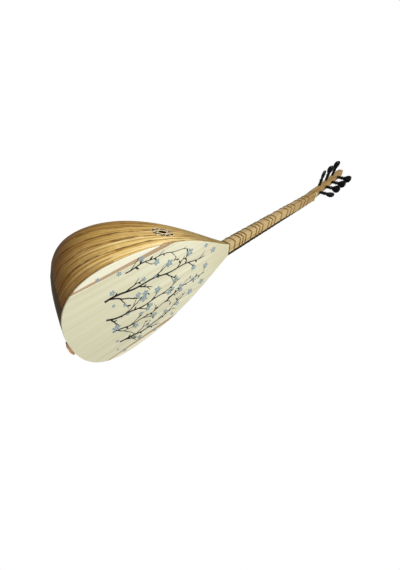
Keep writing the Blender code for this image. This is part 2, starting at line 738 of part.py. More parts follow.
def outset(ring, distance):
    """A closed outline moved outwards by a distance, its sides kept parallel."""
    before, after = np.roll(ring, 1, axis=0), np.roll(ring, -1, axis=0)
    normals = []
    for first, second in ((before, ring), (ring, after)):
        side = second - first
        side /= np.linalg.norm(side, axis=1, keepdims=True)
        normals.append(np.stack((side[:, 1], -side[:, 0]), axis=1))
    share = 1 + np.sum(normals[0] * normals[1], axis=1, keepdims=True)
    return ring + distance * (normals[0] + normals[1]) / share


def fret_route(height):
    """Three turns of line round the neck, rising one pitch a turn, ending on the bass side of the back."""
    count = NECK_BACK_POINTS + 2
    bottom = height - FRET_PITCH * FRET_TURNS / 2
    route = []
    for step in range(count * FRET_TURNS + 1):
        z = bottom + FRET_PITCH * step / count
        ring = outset(neck_ring(neck_half_width(z), neck_depth(z)), GAP + FRET_LINE / 2)
        x, y = ring[(step + count - 2) % count]
        route.append((x, y, z))
    return np.array(route)


def least_gap(route):
    """Smallest clear space between one turn and the next, measured on the route's points."""
    count = NECK_BACK_POINTS + 2
    smallest = SCALE
    for step in range(len(route) - count // 2):
        later = route[step + count // 2:]
        smallest = min(smallest, np.linalg.norm(later - route[step], axis=1).min())
    return smallest - FRET_LINE


def make_frets():
    gaps = []
    for number, ratio in enumerate(FRET_RATIOS, start=1):
        height = BRIDGE_FROM_TAIL + SCALE / ratio
        route = fret_route(height)
        gaps.append(least_gap(route))
        name = f"fret_{number:02d}"
        curve = bpy.data.curves.new(name, 'CURVE')
        curve.dimensions = '3D'
        curve.bevel_depth = FRET_LINE / 2
        curve.bevel_resolution = 1
        curve.use_fill_caps = True
        spline = curve.splines.new('POLY')
        spline.points.add(len(route) - 1)
        for point, (x, y, z) in zip(spline.points, route):
            point.co = (x, y, z - height, 1)
            point.tilt = 0
        spline.use_smooth = True
        fret = add_piece(name, curve, FRET_NYLON, root)
        fret.location = (0, 0, height)
    print(f"least gap between the turns of a fret: {min(gaps) * 1000:.2f} mm")


# Head with its bores, and the pegs

def head_size(height):
    """Half width and depth of the head at a height along it."""
    share = height / HEAD_LENGTH
    half = neck_half_width(NECK_END) * (1 - share) + HEAD_TIP_WIDTH / 2 * share
    depth = (neck_depth(NECK_END) - NECK_FLARE - HEAD_SETBACK) * (1 - share) + HEAD_TIP_DEPTH * share
    return half, depth + flare(height)


def head_ring(height):
    """The head's section; towards the tip it slants, so that the treble side ends higher."""
    half, depth = head_size(height)
    blend = min(height / HEAD_BLEND, 1)
    power = SECTION_POWER + (HEAD_POWER - SECTION_POWER) * blend
    left = HEAD_LENGTH - height
    ring = neck_ring(half, depth, power)
    if left < HEAD_TIP_ROUND:
        turn = math.sqrt(max(0.0, 1 - (1 - left / HEAD_TIP_ROUND)**2))
        middle = np.array((0, depth / 2))
        keep = 1 - HEAD_TIP_ROUND * (1 - turn) / np.array((half, depth / 2)) / 2
        ring = middle + (ring - middle) * keep
    slant = HEAD_TIP_SLANT * max(0.0, 1 - left / HEAD_SLANT_REACH)
    return [(x, y, height + slant * x) for x, y in ring]


def peg_ring(height, half_width, half_thickness):
    return [(half_width * math.cos(a), half_thickness * math.sin(a), height)
            for a in np.linspace(0, 2 * math.pi, PEG_SIDES, endpoint=False)]


def shaft_radius(height, through):
    """Radius of the tapered shaft, from its thin tail at -through - PEG_TAIL to its neck."""
    share = (height + through + PEG_TAIL) / (through + PEG_TAIL)
    return PEG_TIP_RADIUS + (PEG_RADIUS - PEG_TIP_RADIUS) * min(share, 1)


def peg_mesh(name, through):
    """Shaft along +Z, leaving the head at 0: tapered tail, collar, waist and a flat oval knob."""
    tail = -through - PEG_TAIL
    blunt = PEG_TIP_RADIUS / 4
    collar_end = PEG_NECK + PEG_COLLAR
    rings = [(tail, PEG_TIP_RADIUS - blunt, PEG_TIP_RADIUS - blunt),
             (tail + blunt, PEG_TIP_RADIUS, PEG_TIP_RADIUS),
             (0, PEG_RADIUS, PEG_RADIUS),
             (PEG_NECK - blunt, PEG_RADIUS, PEG_RADIUS),
             (PEG_NECK, PEG_COLLAR_RADIUS, PEG_COLLAR_RADIUS),
             (collar_end, PEG_COLLAR_RADIUS, PEG_COLLAR_RADIUS),
             (collar_end + blunt, PEG_WAIST_RADIUS, PEG_WAIST_RADIUS)]
    bottom = collar_end + blunt
    for share, wide, thick in ((0.18, 0.55, 0.86), (0.42, 0.90, 0.98), (0.64, 1.0, 1.0),
                               (0.84, 0.84, 0.86), (0.96, 0.48, 0.52), (1.0, 0.14, 0.16)):
        rings.append((bottom + share * (PEG_REACH - bottom), wide * PEG_KNOB_WIDTH / 2,
                      thick * PEG_KNOB_THICKNESS / 2))
    return loft(name, [peg_ring(*ring) for ring in rings])


def make_head():
    """The head, then each peg in its own tapered bore; a peg's turn about its shaft is where it was left."""
    body = HEAD_LENGTH - HEAD_TIP_ROUND
    heights = [NECK_FLARE_REACH * share for share in (0, 0.2, 0.4, 0.7, 1)]
    heights += [(NECK_FLARE_REACH + body) / 2, HEAD_LENGTH - HEAD_SLANT_REACH, body]
    heights += [body + HEAD_TIP_ROUND * share for share in (0.4, 0.75, 1.0)]
    head = add_piece("head", loft("head", [head_ring(height) for height in heights]), NECK_WOOD, root)
    head.location = (0, HEAD_SETBACK, HEAD_START)
    head.rotation_euler = (-HEAD_LEAN, 0, 0)
    places = []
    for number, (shift, turn) in enumerate(zip(FRONT_PEG_SHIFTS, FRONT_PEG_TURNS)):
        height = FRONT_PEG_FIRST + number * FRONT_PEG_STEP
        through = head_size(height)[1]
        places.append((f"peg_front_{number + 1}", (shift, 0, height), (math.pi / 2, 0, -FRONT_PEG_TILT),
                       through, turn))
    for number, turn in enumerate(SIDE_PEG_TURNS):
        height = SIDE_PEG_FIRST + number * SIDE_PEG_STEP
        half, depth = head_size(height)
        places.append((f"peg_side_{number + 1}", (-half, SIDE_PEG_SEAT * depth, height),
                       (0, -math.pi / 2, 0), 2 * half, turn))
    for name, place, facing, through, turn in places:
        ends = (-through - 2 * PEG_TAIL, 2 * PEG_TAIL)
        bore = [[((shaft_radius(z, through) + GAP) * math.cos(a), (shaft_radius(z, through) + GAP) * math.sin(a), z)
                 for a in np.linspace(0, 2 * math.pi, BORE_SIDES, endpoint=False)] for z in (ends[0], 0, ends[1])]
        guide = add_guide(f"bore_{name}", loft(f"bore_{name}", bore), head)
        guide.location = place
        guide.rotation_euler = facing
        cut(head, guide)
        peg = add_piece(name, peg_mesh(name, through), PEG_EBONY, head)
        peg.location = place
        peg.rotation_euler = facing
        peg.rotation_euler.rotate_axis('Z', math.radians(turn))


make_staves()
make_tail_cap()
make_rosette()
make_soundboard()
make_inner_wood()
make_string_holder()
make_neck()
make_nut()
make_frets()
make_head()
bpy.context.view_layer.update()
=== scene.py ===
"""Short-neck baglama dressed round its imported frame: staved bowl, printed soundboard, tied frets and pegs."""
import math
import random

import bmesh
import bpy
import numpy as np
from mathutils import Euler, Matrix, Vector


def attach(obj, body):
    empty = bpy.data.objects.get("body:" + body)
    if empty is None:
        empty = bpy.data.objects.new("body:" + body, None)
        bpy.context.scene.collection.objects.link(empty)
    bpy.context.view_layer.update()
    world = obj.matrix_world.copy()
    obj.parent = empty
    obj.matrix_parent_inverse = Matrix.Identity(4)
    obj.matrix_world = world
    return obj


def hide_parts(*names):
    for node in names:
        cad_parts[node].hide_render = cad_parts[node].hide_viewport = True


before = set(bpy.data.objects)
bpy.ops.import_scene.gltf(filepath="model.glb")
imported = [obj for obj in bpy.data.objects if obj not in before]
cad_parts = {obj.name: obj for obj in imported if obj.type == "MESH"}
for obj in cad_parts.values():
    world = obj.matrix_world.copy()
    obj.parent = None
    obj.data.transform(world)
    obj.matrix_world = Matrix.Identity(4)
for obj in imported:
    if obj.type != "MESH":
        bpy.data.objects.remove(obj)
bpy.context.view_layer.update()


# Staves: nineteen bent strips of golden figured wood, glued edge to edge over a mould and lacquered.
# Each follows the outline, the keel and the rounded section between them, with eased edges, and the
# rosette's hole is cut through those on the bass side afterwards.
TAIL = -0.1107
BOWL_LENGTH = 0.420
BOWL_WIDTH = 0.259
BOWL_DEPTH = 0.236
WIDEST_HEIGHT = 0.1163
DEEPEST_HEIGHT = 0.157
TAIL_FULLNESS = 0.707
LOWER_FULLNESS = 0.631
UPPER_FULLNESS = 0.524
NECK_PULL = 0.201
NECK_SWEEP = 0.442
KEEL_TAIL_REACH = 0.050
KEEL_TAIL_RISE = 0.020
KEEL_LOWER_HEIGHT = 0.030
KEEL_UPPER_FULLNESS = 0.486
KEEL_NECK_PULL = 0.05
KEEL_NECK_SWEEP = 0.90
CURVE_POINTS = 300
SECTION_POWER = 2.5
SECTION_POINTS = 241
BOWL_WALL = 0.003
BOARD = 0.0028
SEAM = 0.00005
STAVES = 19
STAVE_ROWS = 64
STAVE_CROWDING = 1.2
STAVE_COLUMNS = np.array((0, 0.022, 0.055, 0.13, 0.3, 0.5, 0.7, 0.87, 0.945, 0.978, 1))
STAVE_JOINT = 0.00012
STAVE_DRIFT = 0.55
EVEN_HEIGHT = 0.110
DRIFT_REACH = 0.190
EDGE_DROP = 0.0003
EDGE_REACH = 0.0009
CAP_EDGE = 0.0222
CAP_SLOPE = 0.245
NECK_WIDTH_JOINT = 0.0344
NECK_DEPTH_JOINT = 0.0346
SKIN = -0.0002
ROSETTE_RADIUS = 0.024
ROSETTE_DEPTH = 0.0505
ROSETTE_HEIGHT = 0.2607
ROSETTE_SIDES = 96
HOLE_ROOM = 0.0001
HOLE_FLOOR = -0.014
HOLE_TOP = 0.008
HOLE_REACH = 0.003
HALVINGS = 36
LEAST_SIZE = 1e-6
WELD_REACH = 1e-7
SLOPE_STEP = 1e-5


def colour(red, green, blue):
    """A colour as a screen shows it, 0 to 255, turned into the shader's measure."""
    seen = np.array((red, green, blue)) / 255
    linear = np.where(seen <= 0.04045, seen / 12.92, ((seen + 0.055) / 1.055)**2.4)
    return (*map(float, linear), 1.0)


class Wire:
    """One output of a node; sums of wires add Math nodes, or Vector Math nodes for vectors."""

    def __init__(self, board, socket):
        self.board, self.socket = board, socket

    def work(self, operation, first, second):
        """What one operation makes of two wires, or of a wire and a number."""
        kind = 'ShaderNodeVectorMath' if self.socket.type == 'VECTOR' else 'ShaderNodeMath'
        return self.board.node(kind, {"operation": operation}, {0: first, 1: second})

    def __add__(self, other):
        return self.work('ADD', self, other)

    def __radd__(self, other):
        return self.work('ADD', other, self)

    def __sub__(self, other):
        return self.work('SUBTRACT', self, other)

    def __rsub__(self, other):
        return self.work('SUBTRACT', other, self)

    def __mul__(self, other):
        return self.work('MULTIPLY', self, other)

    def __rmul__(self, other):
        return self.work('MULTIPLY', other, self)


class NodeBoard:
    """Nodes and the wires between them, ending in one last node."""

    def __init__(self, tree, last):
        self.tree, self.last = tree, tree.nodes[last]

    def node(self, kind, settings=None, sockets=None, output=0):
        """Any node: its settings first, then the values or wires of its sockets."""
        made = self.tree.nodes.new(kind)
        for setting, value in (settings or {}).items():
            if setting == "stops":
                ramp = made.color_ramp.elements
                while len(ramp) < len(value):
                    ramp.new(1.0)
                for stop, (position, shade) in zip(ramp, value):
                    stop.position = position
                    stop.color = shade
            else:
                setattr(made, setting, value)
        for socket, value in (sockets or {}).items():
            if isinstance(value, Wire):
                self.tree.links.new(value.socket, made.inputs[socket])
            elif made.inputs[socket].type == 'VECTOR' and not isinstance(value, tuple):
                made.inputs[socket].default_value = (value, value, value)
            else:
                made.inputs[socket].default_value = value
        return Wire(self, made.outputs[output])

    def feed(self, **wires):
        """Ends wires in the last node's sockets, each named with _ where it has a space."""
        for socket, wire in wires.items():
            self.tree.links.new(wire.socket, self.last.inputs[socket.replace("_", " ")])


class Finish(NodeBoard):
    """A material by nodes, ending in one Principled shader."""

    def __init__(self, name, constants):
        self.material = bpy.data.materials.new(name)
        self.material.use_nodes = True
        super().__init__(self.material.node_tree, "Principled BSDF")
        for socket, value in constants.items():
            self.last.inputs[socket].default_value = value

    def layer(self, name):
        """A value that the piece's mesh holds for each of its corners."""
        return self.node('ShaderNodeAttribute', {"attribute_name": name}, {}, "Fac")

    def place(self):
        """Where a point lies on the piece, in metres."""
        return self.node('ShaderNodeTexCoord', {}, {}, "Object")

    def part(self, vector, axis):
        """One of the three parts of a vector: X, Y or Z."""
        return self.node('ShaderNodeSeparateXYZ', {}, {"Vector": vector}, axis)

    def point(self, x, y, z):
        """A vector of three wires or numbers."""
        return self.node('ShaderNodeCombineXYZ', {}, {0: x, 1: y, 2: z})

    def noise(self, vector, detail=2.0, roughness=0.5):
        """Clouds of 0 to 1; the vector's own scale sets how long and how wide they are."""
        return self.node('ShaderNodeTexNoise', {}, {"Vector": vector, "Scale": 1.0, "Detail": detail,
                                                    "Roughness": roughness}, 0)

    def fade(self, value, start, end):
        """0 before start, 1 past end, smooth between them; start may be the higher one."""
        return self.node('ShaderNodeMapRange', {"interpolation_type": 'SMOOTHSTEP'},
                         {"Value": value, "From Min": start, "From Max": end}, "Result")

    def ramp(self, value, *stops):
        """Colours that blend from stop to stop as the value rises."""
        return self.node('ShaderNodeValToRGB', {"stops": stops}, {"Fac": value}, "Color")

    def mix(self, share, under, over, blend='MIX'):
        """One colour laid over another by a share."""
        return self.node('ShaderNodeMix', {"data_type": 'RGBA', "blend_type": blend},
                         {0: share, 6: under, 7: over}, 2)

    def bump(self, height, distance, strength=1.0):
        """Raises the surface by a height of 0 to 1, up to a distance in metres."""
        self.feed(Normal=self.node('ShaderNodeBump', {}, {"Strength": strength, "Distance": distance,
                                                          "Height": height}, "Normal"))


def new_piece(name, points, faces, finish, layers=None, crease=40):
    """A piece from points whose heights start at the tail, its faces turned outwards."""
    mesh = bpy.data.meshes.new(name)
    mesh.from_pydata(np.asarray(points, dtype=float).tolist(), [], faces)
    corners = np.empty(len(mesh.loops), dtype=int)
    mesh.loops.foreach_get("vertex_index", corners)
    for layer, values in (layers or {}).items():
        held = mesh.attributes.new(layer, 'FLOAT', 'CORNER')
        held.data.foreach_set("value", np.asarray(values, dtype=np.float32)[corners])
    form = bmesh.new()
    form.from_mesh(mesh)
    bmesh.ops.remove_doubles(form, verts=form.verts, dist=WELD_REACH)
    bmesh.ops.recalc_face_normals(form, faces=form.faces)
    form.to_mesh(mesh)
    form.free()
    mesh.shade_smooth()
    mesh.set_sharp_from_angle(angle=math.radians(crease))
    if finish:
        mesh.materials.append(finish.material)
    piece = bpy.data.objects.new(name, mesh)
    piece.location.z = TAIL
    bpy.context.scene.collection.objects.link(piece)
    return piece


def cut_away(piece, guide, crease=40):
    """Cuts a guide out of a piece for good."""
    boolean = piece.modifiers.new("cut", 'BOOLEAN')
    boolean.operation = 'DIFFERENCE'
    boolean.solver = 'EXACT'
    boolean.object = guide
    bpy.context.view_layer.update()
    mesh = bpy.data.meshes.new_from_object(piece.evaluated_get(bpy.context.evaluated_depsgraph_get()))
    piece.modifiers.clear()
    piece.data = mesh
    mesh.set_sharp_from_angle(angle=math.radians(crease))


def loft(rings):
    """Points and faces of a closed solid through rings of equally many points."""
    count = len(rings[0])
    points = [point for ring in rings for point in ring]
    faces = [tuple(range(count)), tuple((len(rings) - 1) * count + k for k in reversed(range(count)))]
    for ring in range(len(rings) - 1):
        for k in range(count):
            after = (k + 1) % count
            faces.append((ring * count + k, (ring + 1) * count + k,
                          (ring + 1) * count + after, ring * count + after))
    return points, faces


def shell(outer, inner, closed_sides=True):
    """A wall between two grids of points; without closed sides its rows meet at both their ends."""
    rows, columns = outer.shape[:2]
    points = np.concatenate((outer.reshape(-1, 3), inner.reshape(-1, 3)))

    def at(row, column, layer):
        return (layer * rows + row) * columns + column

    faces = []
    for row in range(rows - 1):
        for column in range(columns - 1):
            for layer in (0, 1):
                faces.append((at(row, column, layer), at(row, column + 1, layer),
                              at(row + 1, column + 1, layer), at(row + 1, column, layer)))
    for row in (0, rows - 1):
        for column in range(columns - 1):
            faces.append((at(row, column, 0), at(row, column + 1, 0),
                          at(row, column + 1, 1), at(row, column, 1)))
    for column in (0, columns - 1) if closed_sides else ():
        for row in range(rows - 1):
            faces.append((at(row, column, 0), at(row + 1, column, 0),
                          at(row + 1, column, 1), at(row, column, 1)))
    return points, faces


def bezier(start, pull, push, end, count):
    """Points along a curve that leaves its start towards one handle and reaches its end from another."""
    t = np.linspace(0, 1, count)[:, None]
    start, pull, push, end = map(np.array, (start, pull, push, end))
    return (1 - t)**3 * start + 3 * (1 - t)**2 * t * pull + 3 * (1 - t) * t**2 * push + t**3 * end


def outline_curve():
    """Right half of the soundboard's outline as (x, height), from the tail to the neck."""
    half = BOWL_WIDTH / 2
    upper = BOWL_LENGTH - WIDEST_HEIGHT
    joint = np.array((NECK_WIDTH_JOINT / 2, BOWL_LENGTH))
    sweep = np.array((math.sin(NECK_SWEEP), -math.cos(NECK_SWEEP)))
    tail = bezier((0, 0), (TAIL_FULLNESS * half, 0), (half, WIDEST_HEIGHT * (1 - LOWER_FULLNESS)),
                  (half, WIDEST_HEIGHT), CURVE_POINTS)
    body = bezier((half, WIDEST_HEIGHT), (half, WIDEST_HEIGHT + UPPER_FULLNESS * upper),
                  joint + sweep * NECK_PULL * upper, joint, CURVE_POINTS)
    return np.vstack((tail, body[1:]))


def keel_curve():
    """The bowl's back line as (depth, height), from the tail to the neck."""
    upper = BOWL_LENGTH - DEEPEST_HEIGHT
    joint = np.array((NECK_DEPTH_JOINT, BOWL_LENGTH))
    sweep = np.array((math.sin(KEEL_NECK_SWEEP), -math.cos(KEEL_NECK_SWEEP)))
    tail = bezier((0, 0), (KEEL_TAIL_REACH, KEEL_TAIL_RISE), (BOWL_DEPTH, KEEL_LOWER_HEIGHT),
                  (BOWL_DEPTH, DEEPEST_HEIGHT), CURVE_POINTS)
    body = bezier((BOWL_DEPTH, DEEPEST_HEIGHT), (BOWL_DEPTH, DEEPEST_HEIGHT + KEEL_UPPER_FULLNESS * upper),
                  joint + sweep * KEEL_NECK_PULL * upper, joint, CURVE_POINTS)
    return np.vstack((tail, body[1:]))


def shift_curve(curve, offset):
    """The curve moved outwards by an offset, square to itself."""
    along = np.gradient(curve, axis=0)
    along /= np.linalg.norm(along, axis=1, keepdims=True)
    return curve + np.stack((along[:, 1], -along[:, 0]), axis=1) * offset


def level(form, points):
    """Under 1 inside the form, 1 on its face and over 1 outside."""
    outline, keel = form
    width = np.interp(points[..., 2], outline[:, 1], outline[:, 0], left=LEAST_SIZE)
    depth = np.interp(points[..., 2], keel[:, 1], keel[:, 0], left=LEAST_SIZE)
    across = np.abs(points[..., 0]) / np.maximum(width, LEAST_SIZE)
    down = np.maximum(points[..., 1], 0) / np.maximum(depth, LEAST_SIZE)
    return across**SECTION_POWER + down**SECTION_POWER


def meet(form, start, rays, near, far, rising=True):
    """Where rays first cross the form's face between a near and a far distance, found by halving."""
    near, far = np.full(len(rays), near), np.full(len(rays), far)
    for _ in range(HALVINGS):
        middle = (near + far) / 2
        before = (level(form, start + rays * middle[:, None]) < 1) == rising
        near = np.where(before, middle, near)
        far = np.where(before, far, middle)
    return start + rays * near[:, None]


def section(form, height, tilt):
    """The form's face where a tilted plane cuts it, from the bass rim over the keel to the treble rim."""
    angle = np.linspace(0, math.pi, SECTION_POINTS)
    rays = np.stack((-np.cos(angle), np.sin(angle) * math.cos(tilt), np.sin(angle) * math.sin(tilt)), axis=1)
    return meet(form, np.array((0, BOARD + SEAM, height)), rays, 0, BOWL_WIDTH + BOWL_DEPTH)


def walk(curve, shares, shift=0.0):
    """Points at shares of a curve's length, each moved along it by a shift, and that length."""
    run = np.concatenate(((0,), np.cumsum(np.linalg.norm(np.diff(curve, axis=0), axis=1))))
    places = shares * run[-1] + shift
    return np.stack([np.interp(places, run, curve[:, axis]) for axis in range(3)], axis=1), run[-1]


def stave_edge(index, height):
    """Share of the section where a joint between staves lies: rim staves narrow towards the neck."""
    share = index / STAVES
    drift = STAVE_DRIFT * math.tanh((height - EVEN_HEIGHT) / DRIFT_REACH)
    return share - drift * math.sin(2 * math.pi * share) / (2 * math.pi)


def fit(piece, body, finish_slot, *nodes):
    """Sets a piece on its body, in the place of the frame's plain solids; its finish slot is not used."""
    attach(piece, body)
    if nodes:
        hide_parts(*nodes)


stave_wood = Finish("golden_stave_wood",
                    {"Coat Weight": 0.06, "Coat Roughness": 0.30, "Specular IOR Level": 0.05})
along, across, edge, tone = (stave_wood.layer(name) for name in ("along", "across", "edge", "tone"))
fibres = stave_wood.noise(stave_wood.point(along * 8, across * 620, tone * 40), 4, 0.6)
bands = stave_wood.noise(stave_wood.point(along * 3, across * 170, tone * 31 + 7), 3, 0.55)
flame = stave_wood.noise(stave_wood.point(along * 90, across * 26, tone * 23), 3, 0.6)
spindles = stave_wood.noise(stave_wood.point(along * 13, across * 210, tone * 17), 2, 0.45)
pores = stave_wood.noise(stave_wood.point(along * 50, across * 1500, tone * 13), 2, 0.5)
wood = stave_wood.ramp(bands * 0.55 + fibres * 0.45, (0.30, colour(132, 92, 28)),
                       (0.42, colour(184, 143, 68)), (0.54, colour(230, 203, 132)),
                       (0.65, colour(253, 242, 198)))
wood = stave_wood.mix(stave_wood.fade(flame, 0.52, 0.74) * 0.34, wood, colour(244, 216, 150))
wood = stave_wood.mix(stave_wood.fade(flame, 0.44, 0.26) * 0.34, wood, colour(150, 100, 40))
wood = stave_wood.mix(stave_wood.fade(pores, 0.58, 0.76) * 0.50, wood, colour(124, 80, 30))
wood = stave_wood.mix(tone * 0.26, wood, colour(172, 116, 52))
wood = stave_wood.mix(stave_wood.fade(spindles, 0.54, 0.68) * 0.55, wood, colour(118, 74, 22))
broken = stave_wood.noise(stave_wood.point(along * 26, tone * 90, 0), 2, 0.5)
shaded = stave_wood.noise(stave_wood.point(along * 27, tone * 70, across * 30), 2, 0.4)
shaded = stave_wood.fade(shaded, 0.46, 0.56) * stave_wood.fade(edge, 0.0056, 0.0020)
wood = stave_wood.mix(shaded * 0.92, wood, colour(96, 56, 12))
pale = stave_wood.fade(edge, 0.0034, 0.0018) * stave_wood.fade(broken, 0.35, 0.6)
wood = stave_wood.mix(pale * 0.40, wood, colour(240, 208, 140))
line = stave_wood.fade(edge, 0.00165, 0.00070)
wood = stave_wood.mix(line * (0.55 + 0.45 * stave_wood.fade(broken, 0.55, 0.40)), wood, colour(92, 56, 10))
# Painted shade: the staves are darkened towards the back of the bowl.
painted_back_shade = stave_wood.fade(stave_wood.part(stave_wood.place(), "Y"), 0.01, 0.15)
wood = stave_wood.mix(painted_back_shade * 0.90, wood, colour(205, 178, 104), 'MULTIPLY')
# Painted shade: the staves are darkened towards the tail.
painted_tail_shade = stave_wood.fade(along, 0.14, 0.0)
wood = stave_wood.mix(painted_tail_shade * 0.84, wood, colour(100, 58, 8))
near_neck = stave_wood.fade(along, 0.20, 0.38)
wood = stave_wood.mix(near_neck * 0.78, wood, colour(128, 108, 60))
stave_wood.feed(Base_Color=wood, Roughness=0.30 + 0.16 * fibres)
stave_wood.bump(fibres * 0.4 + pores * 0.3 - line * 0.8, 0.00012, 0.6)

OUTER = shift_curve(outline_curve(), SKIN), shift_curve(keel_curve(), SKIN)
INNER = shift_curve(outline_curve(), -BOWL_WALL), shift_curve(keel_curve(), -BOWL_WALL)
start = np.array((0, ROSETTE_DEPTH, ROSETTE_HEIGHT))
ROSETTE_CENTRE = meet(OUTER, start, np.array(((-1.0, 0, 0),)), 0, BOWL_WIDTH)[0]
slope = [float(level(OUTER, ROSETTE_CENTRE + step) - level(OUTER, ROSETTE_CENTRE - step))
         for step in np.eye(3) * SLOPE_STEP]
ROSETTE_NORMAL = np.array(slope) / np.linalg.norm(slope)
ROSETTE_ALONG = np.array((0, 0, 1.0)) - ROSETTE_NORMAL * ROSETTE_NORMAL[2]
ROSETTE_ALONG /= np.linalg.norm(ROSETTE_ALONG)
ROSETTE_ACROSS = np.cross(ROSETTE_NORMAL, ROSETTE_ALONG)


def over_rosette(along, across, height):
    """A place over or under the rosette's centre plane."""
    return ROSETTE_CENTRE + ROSETTE_ALONG * along + ROSETTE_ACROSS * across + ROSETTE_NORMAL * height


hole_radius = ROSETTE_RADIUS + HOLE_ROOM
hole = [[over_rosette(hole_radius * math.cos(a), hole_radius * math.sin(a), height)
         for a in np.linspace(0, 2 * math.pi, ROSETTE_SIDES, endpoint=False)]
        for height in (HOLE_FLOOR, HOLE_TOP)]
rosette_hole = new_piece("rosette_hole", *loft(hole), None)

share = np.linspace(0, 1, STAVE_ROWS)**STAVE_CROWDING
heights = CAP_EDGE + share * (BOWL_LENGTH - CAP_EDGE)
tilts = np.arctan(CAP_SLOPE * (1 - ((heights - CAP_EDGE) / (BOWL_LENGTH - CAP_EDGE))))
curves = [[section(form, height, tilt) for height, tilt in zip(heights, tilts)] for form in (OUTER, INNER)]
stave_nodes = {}
for node in sorted(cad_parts):
    if node.startswith("stave_"):
        stave_nodes.setdefault(node[:len("stave_00")], []).append(node)
chance = random.Random(7)
for index, (name, nodes) in enumerate(sorted(stave_nodes.items())):
    outer, inner, widths = [], [], []
    shift = STAVE_JOINT * (0.5 - STAVE_COLUMNS)
    for height, outer_curve, inner_curve in zip(heights, *curves):
        low, high = stave_edge(index, height), stave_edge(index + 1, height)
        shares = low + (high - low) * STAVE_COLUMNS
        row, length = walk(outer_curve, shares, shift)
        outer.append(row)
        inner.append(walk(inner_curve, shares, shift)[0])
        widths.append((high - low) * length)
    outer, inner = np.array(outer), np.array(inner)
    edges = np.minimum(STAVE_COLUMNS, 1 - STAVE_COLUMNS) * np.array(widths)[:, None]
    inwards = inner - outer
    inwards /= np.linalg.norm(inwards, axis=2, keepdims=True)
    outer += inwards * (EDGE_DROP * np.exp(-(edges / EDGE_REACH)**2))[..., None]
    middle = outer[:, len(STAVE_COLUMNS) // 2]
    run = np.concatenate(((0,), np.cumsum(np.linalg.norm(np.diff(middle, axis=0), axis=1))))
    layers = {"along": np.tile(np.repeat(run, len(STAVE_COLUMNS)), 2),
              "across": np.tile(((STAVE_COLUMNS - 0.5) * np.array(widths)[:, None]).ravel(), 2),
              "edge": np.tile(edges.ravel(), 2),
              "tone": np.full(outer.size // 3 * 2, chance.random())}
    stave = new_piece(f"bent_{name}", *shell(outer, inner), stave_wood, layers)
    if np.linalg.norm(outer - ROSETTE_CENTRE, axis=2).min() < ROSETTE_RADIUS + HOLE_REACH:
        cut_away(stave, rosette_hole)
    fit(stave, "lute", "stave_wood", *nodes)
bpy.data.objects.remove(rosette_hole)


# Tail cap: a grey-brown clasp of thin wood bent round the staves' tail ends and rubbed down flush.
# Its upper edge lies in one tilted plane, and it ends just behind the soundboard.
CAP_ROWS = 22
CAP_COLUMNS = 140
CAP_JOINT = 0.0001

cap_wood = Finish("brown_cap_wood", {"Coat Weight": 0.06, "Coat Roughness": 0.3, "Specular IOR Level": 0.05})
along, across = cap_wood.layer("along"), cap_wood.layer("across")
figure = cap_wood.noise(cap_wood.point(along * 120, across * 5, 3), 4, 0.6)
clouds = cap_wood.noise(cap_wood.point(along * 28, across * 22, 9), 3, 0.5)
wood = cap_wood.ramp(figure * 0.6 + clouds * 0.4, (0.32, colour(52, 39, 20)), (0.5, colour(76, 59, 33)),
                     (0.68, colour(104, 82, 50)))
wood = cap_wood.mix(cap_wood.fade(along, 0.0016, 0.0006) * 0.8, wood, colour(58, 38, 22))
cap_wood.feed(Base_Color=wood, Roughness=0.30 + 0.16 * clouds)
cap_wood.bump(figure, 0.00010, 0.5)

grids = []
for form in (OUTER, INNER):
    rows = [walk(section(form, CAP_EDGE - CAP_JOINT, tilt), np.linspace(0, 1, CAP_COLUMNS))
            for tilt in np.linspace(math.atan(CAP_SLOPE), -math.pi / 2, CAP_ROWS)]
    grids.append(np.array([row for row, _ in rows]))
lengths = [length for _, length in rows]
run = np.linalg.norm(np.diff(grids[0], axis=0), axis=2)
run = np.vstack((np.zeros(CAP_COLUMNS), np.cumsum(run, axis=0)))
layers = {"along": np.tile(run.ravel(), 2),
          "across": np.tile((np.linspace(-0.5, 0.5, CAP_COLUMNS) * np.array(lengths)[:, None]).ravel(), 2)}
cap = new_piece("bent_tail_cap", *shell(*grids, closed_sides=False), cap_wood, layers)
fit(cap, "lute", "cap_wood", "tail_cap")


# Rosette: a ring and a star of eight straight strands, sawn from pale wood and let into the bowl's side.
# Each strand is a chord of the ring, tenoned into it at both ends and lapped over its neighbours.
RING_WIDTH = 0.0017
STRAND_WIDTH = 0.0014
ROSETTE_THICKNESS = 0.0011
RING_EASE = 0.0004
RING_DROP = 0.0003
STRANDS = 8
STRAND_SKIP = 3
STRAND_STEPS = 15
STRAND_TURN = math.radians(45)
STRAND_LAP = 0.00010
STRAND_LAYERS = 4
STRAND_FLAT = 0.30
STRAND_EASE = 0.0005
STRAND_TENON = 0.0008

fretwork_wood = Finish("pale_fretwork_wood", {"Roughness": 0.48, "Specular IOR Level": 0.25})
place = fretwork_wood.place()
grain = fretwork_wood.noise(place * (500, 500, 60), 3, 0.6)
clouds = fretwork_wood.noise(place * (90, 90, 90), 2, 0.5)
wood = fretwork_wood.ramp(grain * 0.6 + clouds * 0.4, (0.3, colour(172, 148, 108)),
                          (0.55, colour(212, 192, 152)), (0.75, colour(232, 217, 182)))
fretwork_wood.feed(Base_Color=wood)
fretwork_wood.bump(grain, 0.00006, 0.6)


def seat_on_bowl(points):
    """Points (along, across, height) in the rosette's plane set on the bowl's face, height over it."""
    flat = np.array([over_rosette(x, y, ROSETTE_RADIUS) for x, y, _ in points])
    drop = np.tile(-ROSETTE_NORMAL, (len(flat), 1))
    seats = meet(OUTER, flat, drop, 0, 2 * ROSETTE_RADIUS, rising=False)
    return seats + ROSETTE_NORMAL * np.array([height for _, _, height in points])[:, None]


